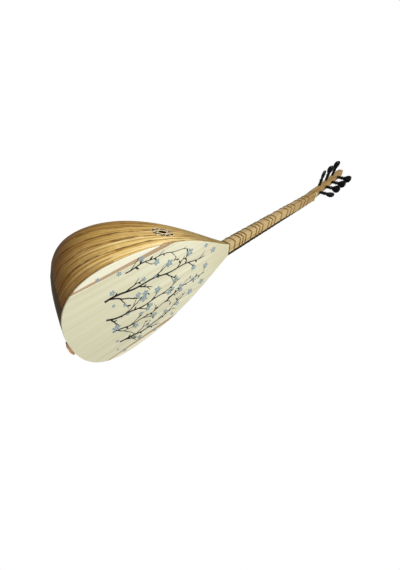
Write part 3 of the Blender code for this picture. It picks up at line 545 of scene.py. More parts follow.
inner_ring = ROSETTE_RADIUS - RING_WIDTH
rings = []
for radius, height in ((ROSETTE_RADIUS, -RING_DROP), (ROSETTE_RADIUS - RING_EASE, 0),
                       (inner_ring + RING_EASE, 0), (inner_ring, -RING_EASE),
                       (inner_ring, -ROSETTE_THICKNESS), (ROSETTE_RADIUS, -ROSETTE_THICKNESS)):
    rings.append(seat_on_bowl([(radius * math.cos(a), radius * math.sin(a), height)
                               for a in np.linspace(0, 2 * math.pi, ROSETTE_SIDES, endpoint=False)]))
count = len(rings[0])
points = np.vstack(rings)
faces = [(ring * count + k, (ring + 1) % len(rings) * count + k,
          (ring + 1) % len(rings) * count + (k + 1) % count, ring * count + (k + 1) % count)
         for ring in range(len(rings)) for k in range(count)]
ring = new_piece("fretwork_ring", points, faces, fretwork_wood)
fit(ring, "lute", "fretwork_wood", "rosette")
offset = (inner_ring + STRAND_WIDTH / 2) * math.cos(STRAND_SKIP * math.pi / STRANDS)
half_chord = math.sqrt(inner_ring**2 - offset**2) + STRAND_TENON
for strand in range(STRANDS):
    turn = 2 * math.pi / STRANDS * strand + STRAND_TURN
    top = -STRAND_LAP * (strand % STRAND_LAYERS)
    profile = ((-0.5, -ROSETTE_THICKNESS), (-0.5, top - STRAND_EASE), (-STRAND_FLAT, top),
               (STRAND_FLAT, top), (0.5, top - STRAND_EASE), (0.5, -ROSETTE_THICKNESS))
    rings = []
    for reach in np.linspace(-half_chord, half_chord, STRAND_STEPS):
        corners = []
        for side, height in profile:
            out = offset + side * STRAND_WIDTH
            corners.append((out * math.cos(turn) - reach * math.sin(turn),
                            out * math.sin(turn) + reach * math.cos(turn), height))
        rings.append(seat_on_bowl(corners))
    bar = new_piece(f"fretwork_strand_{strand + 1}", *loft(rings), fretwork_wood)
    fit(bar, "lute", "fretwork_wood", "rosette")


# Soundboard: quarter-sawn spruce in three boards with two tan wedge strips let in between them, glued
# on the bowl's rim. The front edges are eased a little, and the grain runs the length of the boards.
EASED = 0.00025
WING_WIDTH = 0.0175
WEDGE_OFFSET = BOWL_WIDTH / 2 - WING_WIDTH
WEDGE_TAIL_WIDTH = 0.0035
WEDGE_NECK_WIDTH = 0.0095
WEDGE_FULL_HEIGHT = 0.210
BOARD_STATIONS = 160
BOARD_SEARCH = 6001
BOARD_TAIL_GAP = 0.0001
BOARD_NECK_GAP = 0.0002
SHARP_END = 0.00002

spruce = Finish("cream_spruce", {"Roughness": 0.42, "Coat Weight": 0.12, "Coat Roughness": 0.3})
place = spruce.place()
height = spruce.part(place, "Z")
rings_of_growth = spruce.noise(place * (820, 820, 5), 2, 0.5)
wide_growth = spruce.noise(place * (120, 120, 2.5), 3, 0.5)
silk = spruce.noise(place * (70, 70, 260), 2, 0.5)
wood = spruce.ramp(rings_of_growth * 0.35 + wide_growth * 0.65, (0.34, colour(190, 186, 157)),
                   (0.5, colour(208, 205, 178)), (0.66, colour(220, 218, 193)))
wood = spruce.mix(spruce.fade(silk, 0.52, 0.72) * 0.14, wood, colour(206, 202, 174))
# Painted shade: the boards are darkened a little towards the tail.
wood = spruce.mix(spruce.fade(height, 0.30, 0.06) * 0.60, wood, colour(198, 196, 165))
wood = spruce.mix(spruce.fade(height, 0.28, 0.42) * 0.70, wood, colour(190, 184, 150))
aside = spruce.part(place, "X")
wood = spruce.mix(spruce.fade(aside * aside, 0.0114, 0.0121) * 0.55, wood, colour(232, 230, 210))
spruce.feed(Base_Color=wood, Roughness=0.38 + 0.12 * wide_growth)
spruce.bump(rings_of_growth, 0.00005, 0.5)

wedge_wood = Finish("tan_wedge_wood", {"Roughness": 0.42})
place = wedge_wood.place()
stripes = wedge_wood.noise(place * (1100, 300, 9), 3, 0.55)
drift = wedge_wood.noise(place * (200, 90, 5), 2, 0.5)
wood = wedge_wood.ramp(stripes * 0.7 + drift * 0.3, (0.34, colour(132, 106, 78)),
                       (0.5, colour(164, 140, 109)), (0.68, colour(188, 168, 137)))
wedge_wood.feed(Base_Color=wood)
wedge_wood.bump(stripes, 0.00005, 0.5)


def wedge_side(heights, side):
    """The inner (-1) or outer (1) side of a wedge strip, which widens over the tail half."""
    widening = np.minimum(heights / WEDGE_FULL_HEIGHT, 1)
    width = WEDGE_TAIL_WIDTH + (WEDGE_NECK_WIDTH - WEDGE_TAIL_WIDTH) * widening
    return WEDGE_OFFSET + side * width / 2


def board_piece(name, low_edge, high_edge, side, finish):
    """A board between two edge lines, as far as the outline leaves room for it."""
    outline = shift_curve(outline_curve(), SKIN / 2)
    fine = np.linspace(BOARD_TAIL_GAP, BOWL_LENGTH - BOARD_NECK_GAP, BOARD_SEARCH)
    width = np.interp(fine, outline[:, 1], outline[:, 0])
    room = np.minimum(high_edge(fine), width) - low_edge(fine, width) > LEAST_SIZE
    bottom, top = fine[room][0], fine[room][-1]
    stations = bottom + (1 - np.cos(np.linspace(0, math.pi, BOARD_STATIONS))) / 2 * (top - bottom)
    width = np.interp(stations, outline[:, 1], outline[:, 0])
    low = low_edge(stations, width)
    high = np.maximum(np.minimum(high_edge(stations), width), low + SHARP_END)
    rings = []
    for low_x, high_x, z in zip(low, high, stations):
        ease = min(EASED, (high_x - low_x) / 3)
        profile = ((low_x + ease, 0), (high_x - ease, 0), (high_x, ease), (high_x, BOARD), (low_x, BOARD),
                   (low_x, ease))
        rings.append([(side * x, y, z) for x, y in profile])
    return new_piece(name, *loft(rings), finish, crease=30)


middle = board_piece("spruce_middle", lambda z, width: -np.minimum(wedge_side(z, -1) - SEAM, width),
                     lambda z: wedge_side(z, -1) - SEAM, 1, spruce)
fit(middle, "lute", "spruce", "soundboard_middle")
for side, word in ((-1, "bass"), (1, "treble")):
    wedge = board_piece(f"wedge_{word}", lambda z, width: wedge_side(z, -1) + SEAM,
                        lambda z: wedge_side(z, 1) - SEAM, side, wedge_wood)
    fit(wedge, "lute", "wedge_wood", f"wedge_strip_{word}")
    wing = board_piece(f"spruce_wing_{word}", lambda z, width: wedge_side(z, 1) + SEAM,
                       lambda z: np.full_like(z, BOWL_WIDTH), side, spruce)
    fit(wing, "lute", "spruce", f"soundboard_wing_{word}")


# Print on the soundboard: flowering stems in near-black with slate-blue blossoms.
# It is a film of ink over the boards and the wedge strips, so it is laid as very thin cut shapes.
INK = 0.00008
INK_SINK = 0.00005
INK_LINE = 0.00006
LEAF_STEPS = 10
LEAF_FOOT = 0.06
LEAF_FULLNESS = 0.8
PETALS = 5
PETAL_START = 0.16
PETAL_LENGTH = 0.84
PETAL_WIDTH = 0.60
PETAL_LIFT = 0.00002
PRINT_LOW = 0.070
PRINT_HIGH = 0.362
PRINT_HALF_WIDTH = 0.12
STEM_STEP = 0.0035
STEM_FEWEST_STEPS = 8
STEM_FEWEST_POINTS = 5
STEM_BEND = 0.6
STEM_BEND_LENGTH = 0.09
STEM_WAVER = 0.16
STEM_WAVER_PACE = 19
STEM_WAVER_START = 9000
STEM_MARGIN = 0.012
STEM_TIP = 0.40
LEAF_EVERY = 3
LEAF_CHANCE = 0.40
LEAF_LENGTH = (0.0060, 0.0110)
LEAF_WIDTH = 0.40
LEAF_TURN = (0.5, 0.9)
LEAF_BEND = 0.5
FORK_EVERY = 9
FORK_ORDERS = 2
FORK_LENGTH = (0.16, 0.34)
FORK_GAIN = 1.3
FORK_FALL = 1.15
FORK_SHORTEST = 0.014
FORK_TURN = (0.35, 0.75)
FORK_WIDTH = 0.72
FORK_THINNING = 0.2
BLOOM_CHANCE = 0.28
BLOOM_AT_TIP = (0.0060, 0.0105)
BLOOM_MARGIN = 1.3
BLOOM_APART = 2.6
BLOOM_GAP = 0.011
BLOOM_TRIALS = 900
BLOOM_CROWDING = 0.6
LARGEST_BLOOM = 0.0124
BLOOM_RANGE = 0.0070
MAIN_STEMS = (
    ((0.074, 0.086), -0.14, 0.200, 0.0046), ((0.030, 0.080), -0.02, 0.170, 0.0040),
    ((-0.014, 0.078), 0.03, 0.190, 0.0050), ((-0.060, 0.088), 0.12, 0.250, 0.0054),
    ((-0.098, 0.140), 0.16, 0.150, 0.0030), ((0.034, 0.225), -0.10, 0.115, 0.0034))

black_ink = Finish("near_black_ink", {"Roughness": 0.5})
mottle = black_ink.noise(black_ink.place() * 900, 3, 0.6)
black_ink.feed(Base_Color=black_ink.ramp(mottle, (0.35, colour(22, 24, 26)), (0.7, colour(48, 44, 42))))
blue_ink = Finish("slate_blue_ink", {"Roughness": 0.5})
mottle = blue_ink.noise(blue_ink.place() * 500, 3, 0.6)
blue_ink.feed(Base_Color=blue_ink.ramp(mottle, (0.35, colour(116, 134, 140)), (0.7, colour(150, 165, 166))))


def ink_strip(path, widths, lift=INK):
    """A thin strip of ink along a path of (x, height)."""
    path = np.array(path)
    ahead = np.gradient(path, axis=0)
    ahead /= np.linalg.norm(ahead, axis=1, keepdims=True)
    aside = np.stack((-ahead[:, 1], ahead[:, 0]), axis=1)
    rings = []
    for (x, z), (dx, dz), width in zip(path, aside, widths):
        half = max(width, INK_LINE) / 2
        rings.append([(x - dx * half, -lift, z - dz * half), (x + dx * half, -lift, z + dz * half),
                      (x + dx * half, INK_SINK, z + dz * half), (x - dx * half, INK_SINK, z - dz * half)])
    return loft(rings)


def ink_leaf(base, angle, length, width, bend=0.0, lift=INK):
    """A leaf, bud or petal that grows from its base along an angle."""
    t = np.linspace(0, 1, LEAF_STEPS + 1)
    turn = angle + bend * t
    steps = length / LEAF_STEPS * np.stack((np.cos(turn), np.sin(turn)), axis=1)
    path = np.array(base) + np.vstack(((0, 0), np.cumsum(steps[1:], axis=0)))
    share = np.clip(t * (1 - LEAF_FOOT) + LEAF_FOOT, 0, 1)
    return ink_strip(path, width * np.sin(math.pi * share)**LEAF_FULLNESS, lift)


def blossom(centre, radius, turn):
    """Five petals round a small open centre."""
    petals = []
    for petal in range(PETALS):
        angle = turn + petal * 2 * math.pi / PETALS
        base = (centre[0] + PETAL_START * radius * math.cos(angle),
                centre[1] + PETAL_START * radius * math.sin(angle))
        petals.append(ink_leaf(base, angle, PETAL_LENGTH * radius, PETAL_WIDTH * radius,
                               lift=INK + PETAL_LIFT))
    return petals


def on_board(x, z, margin):
    """Whether a spot lies on the printed part of the soundboard, clear of its outline."""
    return PRINT_LOW < z < PRINT_HIGH and abs(x) < np.interp(z, board_line[:, 1], board_line[:, 0]) - margin


def grow(start, heading, length, width, order):
    """A wavering stem with leaves, which forks into thinner ones of the next order, some of which bloom."""
    count = max(STEM_FEWEST_STEPS, round(length / STEM_STEP))
    path = [start]
    bend = chance.uniform(-STEM_BEND, STEM_BEND) * length / STEM_BEND_LENGTH
    for step in range(count):
        share = step / count
        waver = STEM_WAVER * math.sin(share * STEM_WAVER_PACE + width * STEM_WAVER_START)
        turn = heading + bend * (share - 0.5) + waver
        path.append((path[-1][0] + length / count * math.sin(turn),
                     path[-1][1] + length / count * math.cos(turn)))
        if not on_board(*path[-1], STEM_MARGIN):
            break
    if len(path) < STEM_FEWEST_POINTS:
        return
    dark.append(ink_strip(path, np.linspace(width, width * STEM_TIP, len(path))))
    side = chance.choice((-1, 1))
    for step in range(LEAF_EVERY, len(path) - 1, LEAF_EVERY):
        side = -side
        share = step / len(path)
        facing = math.atan2(path[step + 1][0] - path[step][0], path[step + 1][1] - path[step][1])
        if order < FORK_ORDERS and step % FORK_EVERY == LEAF_EVERY * (1 + order):
            reach = chance.uniform(*FORK_LENGTH) * (1 + FORK_GAIN * order) * length * (FORK_FALL - share)
            grow(path[step], facing + side * chance.uniform(*FORK_TURN), max(reach, FORK_SHORTEST),
                 width * (FORK_WIDTH - FORK_THINNING * share), order + 1)
        elif chance.random() < LEAF_CHANCE:
            reach = chance.uniform(*LEAF_LENGTH)
            dark.append(ink_leaf(path[step], math.pi / 2 - facing - side * chance.uniform(*LEAF_TURN),
                                 reach, LEAF_WIDTH * reach, -side * LEAF_BEND))
    radius = chance.uniform(*BLOOM_AT_TIP)
    if order > 0 and chance.random() < BLOOM_CHANCE and on_board(*path[-1], BLOOM_MARGIN * radius):
        spots.append((*path[-1], radius))


def has_room(x, z, radius):
    """Whether a blossom here would lie on the board and well apart from the others."""
    return on_board(x, z, BLOOM_MARGIN * radius) and all(
        math.dist((x, z), spot[:2]) > BLOOM_APART * max(radius, spot[2]) + BLOOM_GAP for spot in spots)


def join(solids):
    """Several solids' points and faces as those of one piece."""
    points, faces = [], []
    for some_points, some_faces in solids:
        start = len(points)
        points.extend(some_points)
        faces.extend(tuple(start + k for k in face) for face in some_faces)
    return points, faces


chance = random.Random(14)
board_line = outline_curve()
dark, blue, spots = [], [], []
for start, heading, length, width in MAIN_STEMS:
    grow(start, heading, length, width, 0)
for trial in range(BLOOM_TRIALS):
    share = chance.random()**BLOOM_CROWDING
    x = chance.uniform(-PRINT_HALF_WIDTH, PRINT_HALF_WIDTH)
    z = PRINT_LOW + (PRINT_HIGH - PRINT_LOW) * share
    radius = (LARGEST_BLOOM - BLOOM_RANGE * math.sqrt(trial / BLOOM_TRIALS)) * (0.5 + 0.5 * share)
    if has_room(x, z, radius):
        spots.append((x, z, radius))
for x, z, radius in spots:
    blue.extend(blossom((x, z), radius, chance.uniform(0, 1)))
inked = new_piece("printed_stems", *join(dark), black_ink)
fit(inked, "lute", "spruce")
inked = new_piece("printed_blossoms", *join(blue), blue_ink)
fit(inked, "lute", "spruce")


# Blocks and brace inside the bowl: raw wood, glued to the staves and under the soundboard.
# They are hidden, so the frame's own solids stay and only get their wood.
inner_wood = Finish("raw_inner_wood", {"Roughness": 0.7})
place = inner_wood.place()
grain = inner_wood.noise(place * (60, 60, 8), 4, 0.6)
wood = inner_wood.ramp(grain, (0.35, colour(176, 140, 96)), (0.65, colour(214, 182, 134)))
inner_wood.feed(Base_Color=wood)
inner_wood.bump(grain, 0.0002, 0.5)
for node in ("neck_block", "tail_block", "soundboard_brace"):
    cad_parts[node].material_slots[0].material = inner_wood.material


# String holder: a small slotted tab of orange-brown wood glued over the bowl's tail end.
# Its bulged face and seven slots come from the frame's own solid.
holder_wood = Finish("orange_brown_wood", {"Roughness": 0.36, "Coat Weight": 0.3, "Coat Roughness": 0.2})
place = holder_wood.place()
grain = holder_wood.noise(place * (60, 500, 500), 4, 0.6)
wood = holder_wood.ramp(grain, (0.3, colour(136, 98, 64)), (0.5, colour(174, 134, 96)),
                        (0.72, colour(196, 160, 122)))
holder_wood.feed(Base_Color=wood)
holder_wood.bump(grain, 0.00008, 0.6)
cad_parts["string_holder"].material_slots[0].material = holder_wood.material


# Neck: one length of tan wood with a flat front and a full round back, swelling into the head and
# glued to the bowl over a dark veneer. A near-black strip along the front's treble edge is painted
# shade for the neck's shaded far side, and runs out towards the nut.
NUT_HEIGHT = 0.8107
NUT = 0.0042
NECK_END = NUT_HEIGHT + NUT
VENEER = 0.0030
NECK_WIDTH_NUT = 0.0253
NECK_DEPTH_NUT = 0.0240
NECK_FLARE = 0.0042
NECK_FLARE_REACH = 0.055
NECK_CORNER = 0.0010
NECK_STEPS = 70
NECK_FOOT = 0.0002
NECK_LEAN_START = 0.006
NECK_LEAN_RISE = 0.0002
NUT_SINK = 0.0030
NUT_ROOM = 0.0001
SEAT_REACH = 0.03
HEAD_LEAN = math.radians(6.2)
HEAD_SETBACK = 0.0034
BACK_POINTS = 37
EDGE_STRIP = 0.0086
STRIP_TIP = 0.0009
STRIP_TAPER = 0.640
STRIP_END = 0.765
STRIP_STEPS = 40
STRIP_STAND = 0.0001
STRIP_ROUND = 0.0007
STRIP_SIDE = 0.0020
STRIP_DEPTH = 0.0012

neck_wood = Finish("tan_neck_wood", {"Coat Weight": 0.08, "Coat Roughness": 0.3, "Specular IOR Level": 0.25})
place = neck_wood.place()
fibres = neck_wood.noise(place * (700, 700, 9), 4, 0.6)
bands = neck_wood.noise(place * (130, 130, 3), 3, 0.5)
figure = neck_wood.noise(place * (40, 40, 130), 2, 0.5)
wood = neck_wood.ramp(fibres * 0.45 + bands * 0.55, (0.32, colour(142, 116, 70)),
                      (0.5, colour(180, 156, 106)), (0.68, colour(212, 193, 149)))
wood = neck_wood.mix(neck_wood.fade(figure, 0.5, 0.72) * 0.30, wood, colour(158, 126, 80))
near_head = neck_wood.fade(neck_wood.part(place, "Z"), 0.60, 0.84)
wood = neck_wood.mix(near_head * 0.72, wood, colour(142, 112, 62))
streaks = neck_wood.noise(place * (330, 330, 9), 4, 0.6)
wood = neck_wood.mix(neck_wood.fade(streaks, 0.40, 0.68) * near_head * 0.76, wood, colour(104, 66, 30))
neck_wood.feed(Base_Color=wood, Roughness=0.34 + 0.14 * bands)
neck_wood.bump(fibres, 0.00006, 0.5)

veneer_wood = Finish("brown_veneer", {"Roughness": 0.4})
place = veneer_wood.place()
grain = veneer_wood.noise(place * (300, 300, 900), 3, 0.6)
veneer_wood.feed(Base_Color=veneer_wood.ramp(grain, (0.35, colour(56, 22, 10)), (0.7, colour(84, 38, 18))))
veneer_wood.bump(grain, 0.00005, 0.5)

# Near-black for the painted shade along the neck's treble edge.
painted_shade_black = Finish("near_black_painted_shade", {"Roughness": 0.45, "Specular IOR Level": 0.1})
grain = painted_shade_black.noise(painted_shade_black.place() * (600, 600, 30), 3, 0.6)
painted_shade_black.feed(Base_Color=painted_shade_black.ramp(grain, (0.35, colour(8, 7, 5)), (0.7, colour(22, 18, 13))))


def neck_half_width(height):
    """Half the neck's width, which tapers from the bowl to the nut."""
    share = (height - BOWL_LENGTH) / (NUT_HEIGHT - BOWL_LENGTH)
    return (NECK_WIDTH_JOINT + (NECK_WIDTH_NUT - NECK_WIDTH_JOINT) * share) / 2


def flare(distance):
    """Extra depth of the back near the nut, where the neck swells into the head."""
    return NECK_FLARE * max(0.0, 1 - abs(distance) / NECK_FLARE_REACH)**2


def neck_depth(height):
    """How deep the neck is, from its flat front to the ridge of its back."""
    share = (height - BOWL_LENGTH) / (NUT_HEIGHT - BOWL_LENGTH)
    return NECK_DEPTH_JOINT + (NECK_DEPTH_NUT - NECK_DEPTH_JOINT) * share + flare(NECK_END - height)


def neck_ring(half, depth, power=SECTION_POWER):
    """Neck section as (x, y): flat front, small corners and a full round back."""
    angle = np.linspace(0, math.pi, BACK_POINTS)
    across = np.sign(np.cos(angle)) * np.abs(np.cos(angle))**(2 / power)
    down = np.abs(np.sin(angle))**(2 / power)
    back = np.stack((half * across, NECK_CORNER + (depth - NECK_CORNER) * down), axis=1)
    front = np.array(((NECK_CORNER - half, 0), (half - NECK_CORNER, 0)))
    return np.vstack((front, back))


def neck_station(height, lean=0.0):
    """The neck's section at a height, or where a plane that leans back with the head cuts it."""
    ring = neck_ring(neck_half_width(height) + SKIN / 4, neck_depth(height) + SKIN / 4)
    return [(x, y, height - math.tan(lean) * (y - HEAD_SETBACK)) for x, y in ring]


rings = [neck_station(BOWL_LENGTH), neck_station(BOWL_LENGTH + VENEER)]
veneer = new_piece("dark_joint_veneer", *loft(rings), veneer_wood)
fit(veneer, "lute", "veneer_wood", "joint_veneer")
heights = np.linspace(BOWL_LENGTH + VENEER, NECK_END - NECK_LEAN_START, NECK_STEPS)
rings = [neck_station(height) for height in heights]
rings.append(neck_station(NECK_END + NECK_LEAN_RISE, HEAD_LEAN))
neck = new_piece("tan_neck", *loft(rings), neck_wood)
seat_line = NUT_SINK + NUT_ROOM
seat = [[(-SEAT_REACH, -NUT_SINK, z), (SEAT_REACH, -NUT_SINK, z),
         (SEAT_REACH, seat_line, z), (-SEAT_REACH, seat_line, z)]
        for z in (NUT_HEIGHT - NUT_ROOM, NUT_HEIGHT + SEAT_REACH)]
nut_seat = new_piece("nut_seat", *loft(seat), None)
cut_away(neck, nut_seat)
bpy.data.objects.remove(nut_seat)
fit(neck, "lute", "neck_wood", "neck")
# Painted shade: a near-black strip on the front's treble edge stands in for the neck's shaded far side.
rings = []
for height in np.linspace(BOWL_LENGTH + NECK_FOOT, STRIP_END, STRIP_STEPS):
    half = neck_half_width(height) + SEAM
    inner = half - np.interp(height, (STRIP_TAPER, STRIP_END), (EDGE_STRIP, STRIP_TIP))
    profile = ((inner, -STRIP_STAND), (half - STRIP_ROUND, -STRIP_STAND), (half, STRIP_ROUND),
               (half, STRIP_SIDE), (inner, STRIP_DEPTH))
    rings.append([(x, y, height) for x, y in profile])
strip = new_piece("neck_painted_shade_strip", *loft(rings), painted_shade_black)
fit(strip, "lute", "veneer_wood")


# Nut: a bone-like bar, pale greenish cream, seated across the neck's end. Its top is rounded over
# both edges and notched for seven strings.
NUT_STAND = 0.0022
NUT_CORNER = 0.0003
NUT_ROUNDING = ((0, 0.0009), (0.0003, 0.0004), (0.0009, 0.0001), (0.0016, 0))
STRINGS = 7
STRING_SPAN = 0.0185
STRING_NOTCH = 0.0009

nut_bone = Finish("pale_nut", {"Roughness": 0.32, "Coat Weight": 0.2})
place = nut_bone.place()
clouds = nut_bone.noise(place * (220, 220, 220), 3, 0.5)
streaks = nut_bone.noise(place * (60, 700, 700), 2, 0.5)
shade = nut_bone.ramp(clouds * 0.5 + streaks * 0.5, (0.32, colour(190, 188, 138)),
                      (0.6, colour(210, 209, 164)))
nut_bone.feed(Base_Color=shade)
nut_bone.bump(streaks, 0.00004, 0.5)

rings = []
half = neck_half_width(NUT_HEIGHT)
for z, lowered in (*NUT_ROUNDING, *((NUT - z, lowered) for z, lowered in reversed(NUT_ROUNDING))):
    top = lowered - NUT_STAND
    corners = [(-half, NUT_SINK), (-half, top + NUT_CORNER), (NUT_CORNER - half, top)]
    for string in range(STRINGS):
        x = (string / (STRINGS - 1) - 0.5) * STRING_SPAN
        corners += [(x - STRING_NOTCH / 2, top), (x, top + STRING_NOTCH), (x + STRING_NOTCH / 2, top)]
    corners += [(half - NUT_CORNER, top), (half, top + NUT_CORNER), (half, NUT_SINK)]
    rings.append([(x, y, NUT_HEIGHT + z) for x, y in corners])
nut = new_piece("pale_nut_bar", *loft(rings), nut_bone, crease=30)
fit(nut, "lute", "nut_bone", "nut")


# Frets: eighteen bands, each three turns of one dark amber nylon line tied tight round the neck.
# A player can shift them, so each band rides on its own body.
FRET_RATIOS = (18 / 17, 12 / 11, 9 / 8, 81 / 68, 27 / 22, 81 / 64, 4 / 3, 24 / 17, 16 / 11,
               3 / 2, 27 / 17, 18 / 11, 27 / 16, 16 / 9, 32 / 17, 64 / 33, 2, 36 / 17)
FRET_TURNS = 3
FRET_LINE = 0.0007
FRET_PITCH = 0.00118
FRET_STAND = 0.0002

fret_nylon = Finish("amber_nylon", {"Roughness": 0.34, "Specular IOR Level": 0.3})
place = fret_nylon.place()
stretch = fret_nylon.noise(place * (300, 300, 1500), 2, 0.5)
amber = fret_nylon.ramp(stretch, (0.35, colour(128, 92, 50)), (0.7, colour(156, 116, 68)))
fret_nylon.feed(Base_Color=amber)
fret_nylon.bump(stretch, 0.00003, 0.5)


def outset(ring, distance):
    """A closed outline moved outwards by a distance, its sides kept parallel."""
    before, after = np.roll(ring, 1, axis=0), np.roll(ring, -1, axis=0)
    normals = []
    for first, second in ((before, ring), (ring, after)):
        side = second - first
        side /= np.linalg.norm(side, axis=1, keepdims=True)
        normals.append(np.stack((side[:, 1], -side[:, 0]), axis=1))
    share = 1 + np.sum(normals[0] * normals[1], axis=1, keepdims=True)
    return ring + distance * (normals[0] + normals[1]) / share


def tube(path, radius, sides=8):
    """A round line along a path of points, closed at both ends."""
    ahead = np.gradient(path, axis=0)
    ahead /= np.linalg.norm(ahead, axis=1, keepdims=True)
    rings = []
    for point, direction in zip(path, ahead):
        first = np.cross(direction, (0, 0, 1.0))
        first /= np.linalg.norm(first)
        second = np.cross(direction, first)
        rings.append([point + radius * (first * math.cos(a) + second * math.sin(a))
                      for a in np.linspace(0, 2 * math.pi, sides, endpoint=False)])
    return loft(rings)


count = len(neck_ring(neck_half_width(NUT_HEIGHT), neck_depth(NUT_HEIGHT)))
for number, ratio in enumerate(FRET_RATIOS, start=1):
    height = -TAIL + (NUT_HEIGHT + TAIL) / ratio
    route = []
    for step in range(count * FRET_TURNS + 1):
        z = height + FRET_PITCH * (step / count - FRET_TURNS / 2)
        ring = outset(neck_ring(neck_half_width(z), neck_depth(z)), FRET_STAND + FRET_LINE / 2)
        x, y = ring[(step + count - 2) % count]
        route.append((x, y, z))
    line = tube(np.array(route), FRET_LINE / 2)
    band = new_piece(f"nylon_band_{number:02d}", *line, fret_nylon, crease=60)
    fit(band, f"fret_{number:02d}", "fret_nylon", f"fret_{number:02d}")


# Head: tan wood glued to the neck's end, leaning back from the nut and rounded at its tip. Seven
# tapered bores hold the pegs, four out of its face and three out of its bass side.
HEAD_LENGTH = 0.2270
HEAD_TIP_WIDTH = 0.0225
HEAD_TIP_DEPTH = 0.0180
HEAD_TIP_ROUND = 0.010
HEAD_TIP_SIDES = 0.66
HEAD_TIP_SLANT = 0.60
HEAD_SLANT_REACH = 0.030
HEAD_SQUARENESS = 2
HEAD_SQUARE_REACH = 0.022
HEAD_JOINT = 0.0003
HEAD_STEPS = 50
TIP_STEPS = 12
TIP_START = 0.1
FRONT_PEG_TILT = math.radians(5)
FRONT_PEG_START = 0.0365
FRONT_PEG_STEP = 0.0450
FRONT_PEG_ASIDE = (0, -0.0015, -0.0015, -0.0025)
FRONT_PEG_TURNS = (100, 155, 145, 145)
SIDE_PEG_SEAT = 0.70
SIDE_PEG_START = 0.0540
SIDE_PEG_STEP = 0.0494
SIDE_PEG_TURNS = (5, 150, 150)
PEG_TAIL = 0.0030
PEG_RADIUS = 0.0043
PEG_TIP_RADIUS = 0.0034
BORE_ROOM = 0.00015
BORE_SIDES = 40
HEAD_PLACE = (Matrix.Translation((0, HEAD_SETBACK, NECK_END + HEAD_JOINT))
              @ Euler((-HEAD_LEAN, 0, 0)).to_matrix().to_4x4())


def head_size(height):
    """Half width and depth of the head at a height along it."""
    share = height / HEAD_LENGTH
    half = neck_half_width(NECK_END) * (1 - share) + HEAD_TIP_WIDTH / 2 * share
    depth = (neck_depth(NECK_END) - NECK_FLARE - HEAD_SETBACK) * (1 - share) + HEAD_TIP_DEPTH * share
    return half, depth + flare(height)


def head_ring(height):
    """The head's section at a height, drawn in and slanted at the tip."""
    half, depth = head_size(height)
    power = SECTION_POWER + HEAD_SQUARENESS * min(height / HEAD_SQUARE_REACH, 1)
    left = HEAD_LENGTH - height
    ring = neck_ring(half + SKIN / 4, depth + SKIN / 4, power)
    if left < HEAD_TIP_ROUND:
        turn = math.sqrt(max(0.0, 1 - (1 - left / HEAD_TIP_ROUND)**2))
        middle = np.array((0, depth / 2))
        keep = 1 - HEAD_TIP_ROUND * (1 - turn) * np.array((HEAD_TIP_SIDES / half, 1 / depth))
        ring = middle + (ring - middle) * keep
    slant = HEAD_TIP_SLANT * max(0.0, 1 - left / HEAD_SLANT_REACH)
    return [HEAD_PLACE @ Vector((x, y, height + slant * x)) for x, y in ring]


def shaft_radius(height, through):
    """Radius of a peg's tapered shaft, thinnest at its tail."""
    share = (height + through + PEG_TAIL) / (through + PEG_TAIL)
    return PEG_TIP_RADIUS + (PEG_RADIUS - PEG_TIP_RADIUS) * min(share, 1)


def round_ring(place, height, half_width, half_thickness, sides):
    """A ring round a peg's axis, oval where its two sizes differ."""
    return [place @ Vector((half_width * math.cos(a), half_thickness * math.sin(a), height))
            for a in np.linspace(0, 2 * math.pi, sides, endpoint=False)]


body = HEAD_LENGTH - HEAD_TIP_ROUND
heights = [*np.linspace(0, body, HEAD_STEPS),
           *(body + HEAD_TIP_ROUND * np.sin(np.linspace(TIP_START, math.pi / 2, TIP_STEPS)))]
head = new_piece("tan_head", *loft([head_ring(height) for height in heights]), neck_wood)
pegs = []
for number, (aside, turn) in enumerate(zip(FRONT_PEG_ASIDE, FRONT_PEG_TURNS)):
    height = FRONT_PEG_START + number * FRONT_PEG_STEP
    facing = Euler((math.pi / 2, 0, -FRONT_PEG_TILT))
    pegs.append((f"peg_front_{number + 1}", (aside, 0, height), facing, head_size(height)[1], turn))
for number, turn in enumerate(SIDE_PEG_TURNS):
    height = SIDE_PEG_START + number * SIDE_PEG_STEP
    half, depth = head_size(height)
    facing = Euler((0, -math.pi / 2, 0))
    pegs.append((f"peg_side_{number + 1}", (-half, SIDE_PEG_SEAT * depth, height), facing, 2 * half, turn))
for name, seat, facing, through, turn in pegs:
    place = HEAD_PLACE @ Matrix.Translation(seat) @ facing.to_matrix().to_4x4()
    bore = []
    for z in (-through - 2 * PEG_TAIL, 0, 2 * PEG_TAIL):
        radius = shaft_radius(z, through) + BORE_ROOM
        bore.append(round_ring(place, z, radius, radius, BORE_SIDES))
    guide = new_piece("bore", *loft(bore), None)
    cut_away(head, guide)
    bpy.data.objects.remove(guide)
fit(head, "lute", "neck_wood", "head")


# Pegs: seven turned pegs of near-black polished wood, pushed into tapered bores and held by friction.
# Each has a collar and a flat oval knob, and rides on its own body.
PEG_REACH = 0.0448
PEG_NECK = 0.0145
PEG_COLLAR = 0.0036
PEG_SIDES = 32
TAIL_TURNING = ((0, 0.0024), (0.0003, 0.0030), (0.0009, PEG_TIP_RADIUS))
COLLAR_TURNING = ((-0.0010, PEG_RADIUS), (-0.0004, 0.0047), (0.0001, 0.0054), (0.0008, 0.0057),
                  (0.0020, 0.0057), (0.0026, 0.0053))
KNOB_TURNING = ((-0.0006, 0.0042), (0, 0.0036))
KNOB_RINGS = 30
KNOB_START = 0.97
KNOB_CROWDING = 1.4
KNOB_WIDTH = 0.0220
KNOB_THICKNESS = 0.0096
KNOB_STATIONS = np.array((0, 0.18, 0.42, 0.64, 0.84, 0.96, 1))
KNOB_WIDTHS = np.array((0.34, 0.55, 0.90, 1, 0.84, 0.48, 0.10))
KNOB_THICKNESSES = np.array((0.75, 0.86, 0.98, 1, 0.86, 0.52, 0.12))

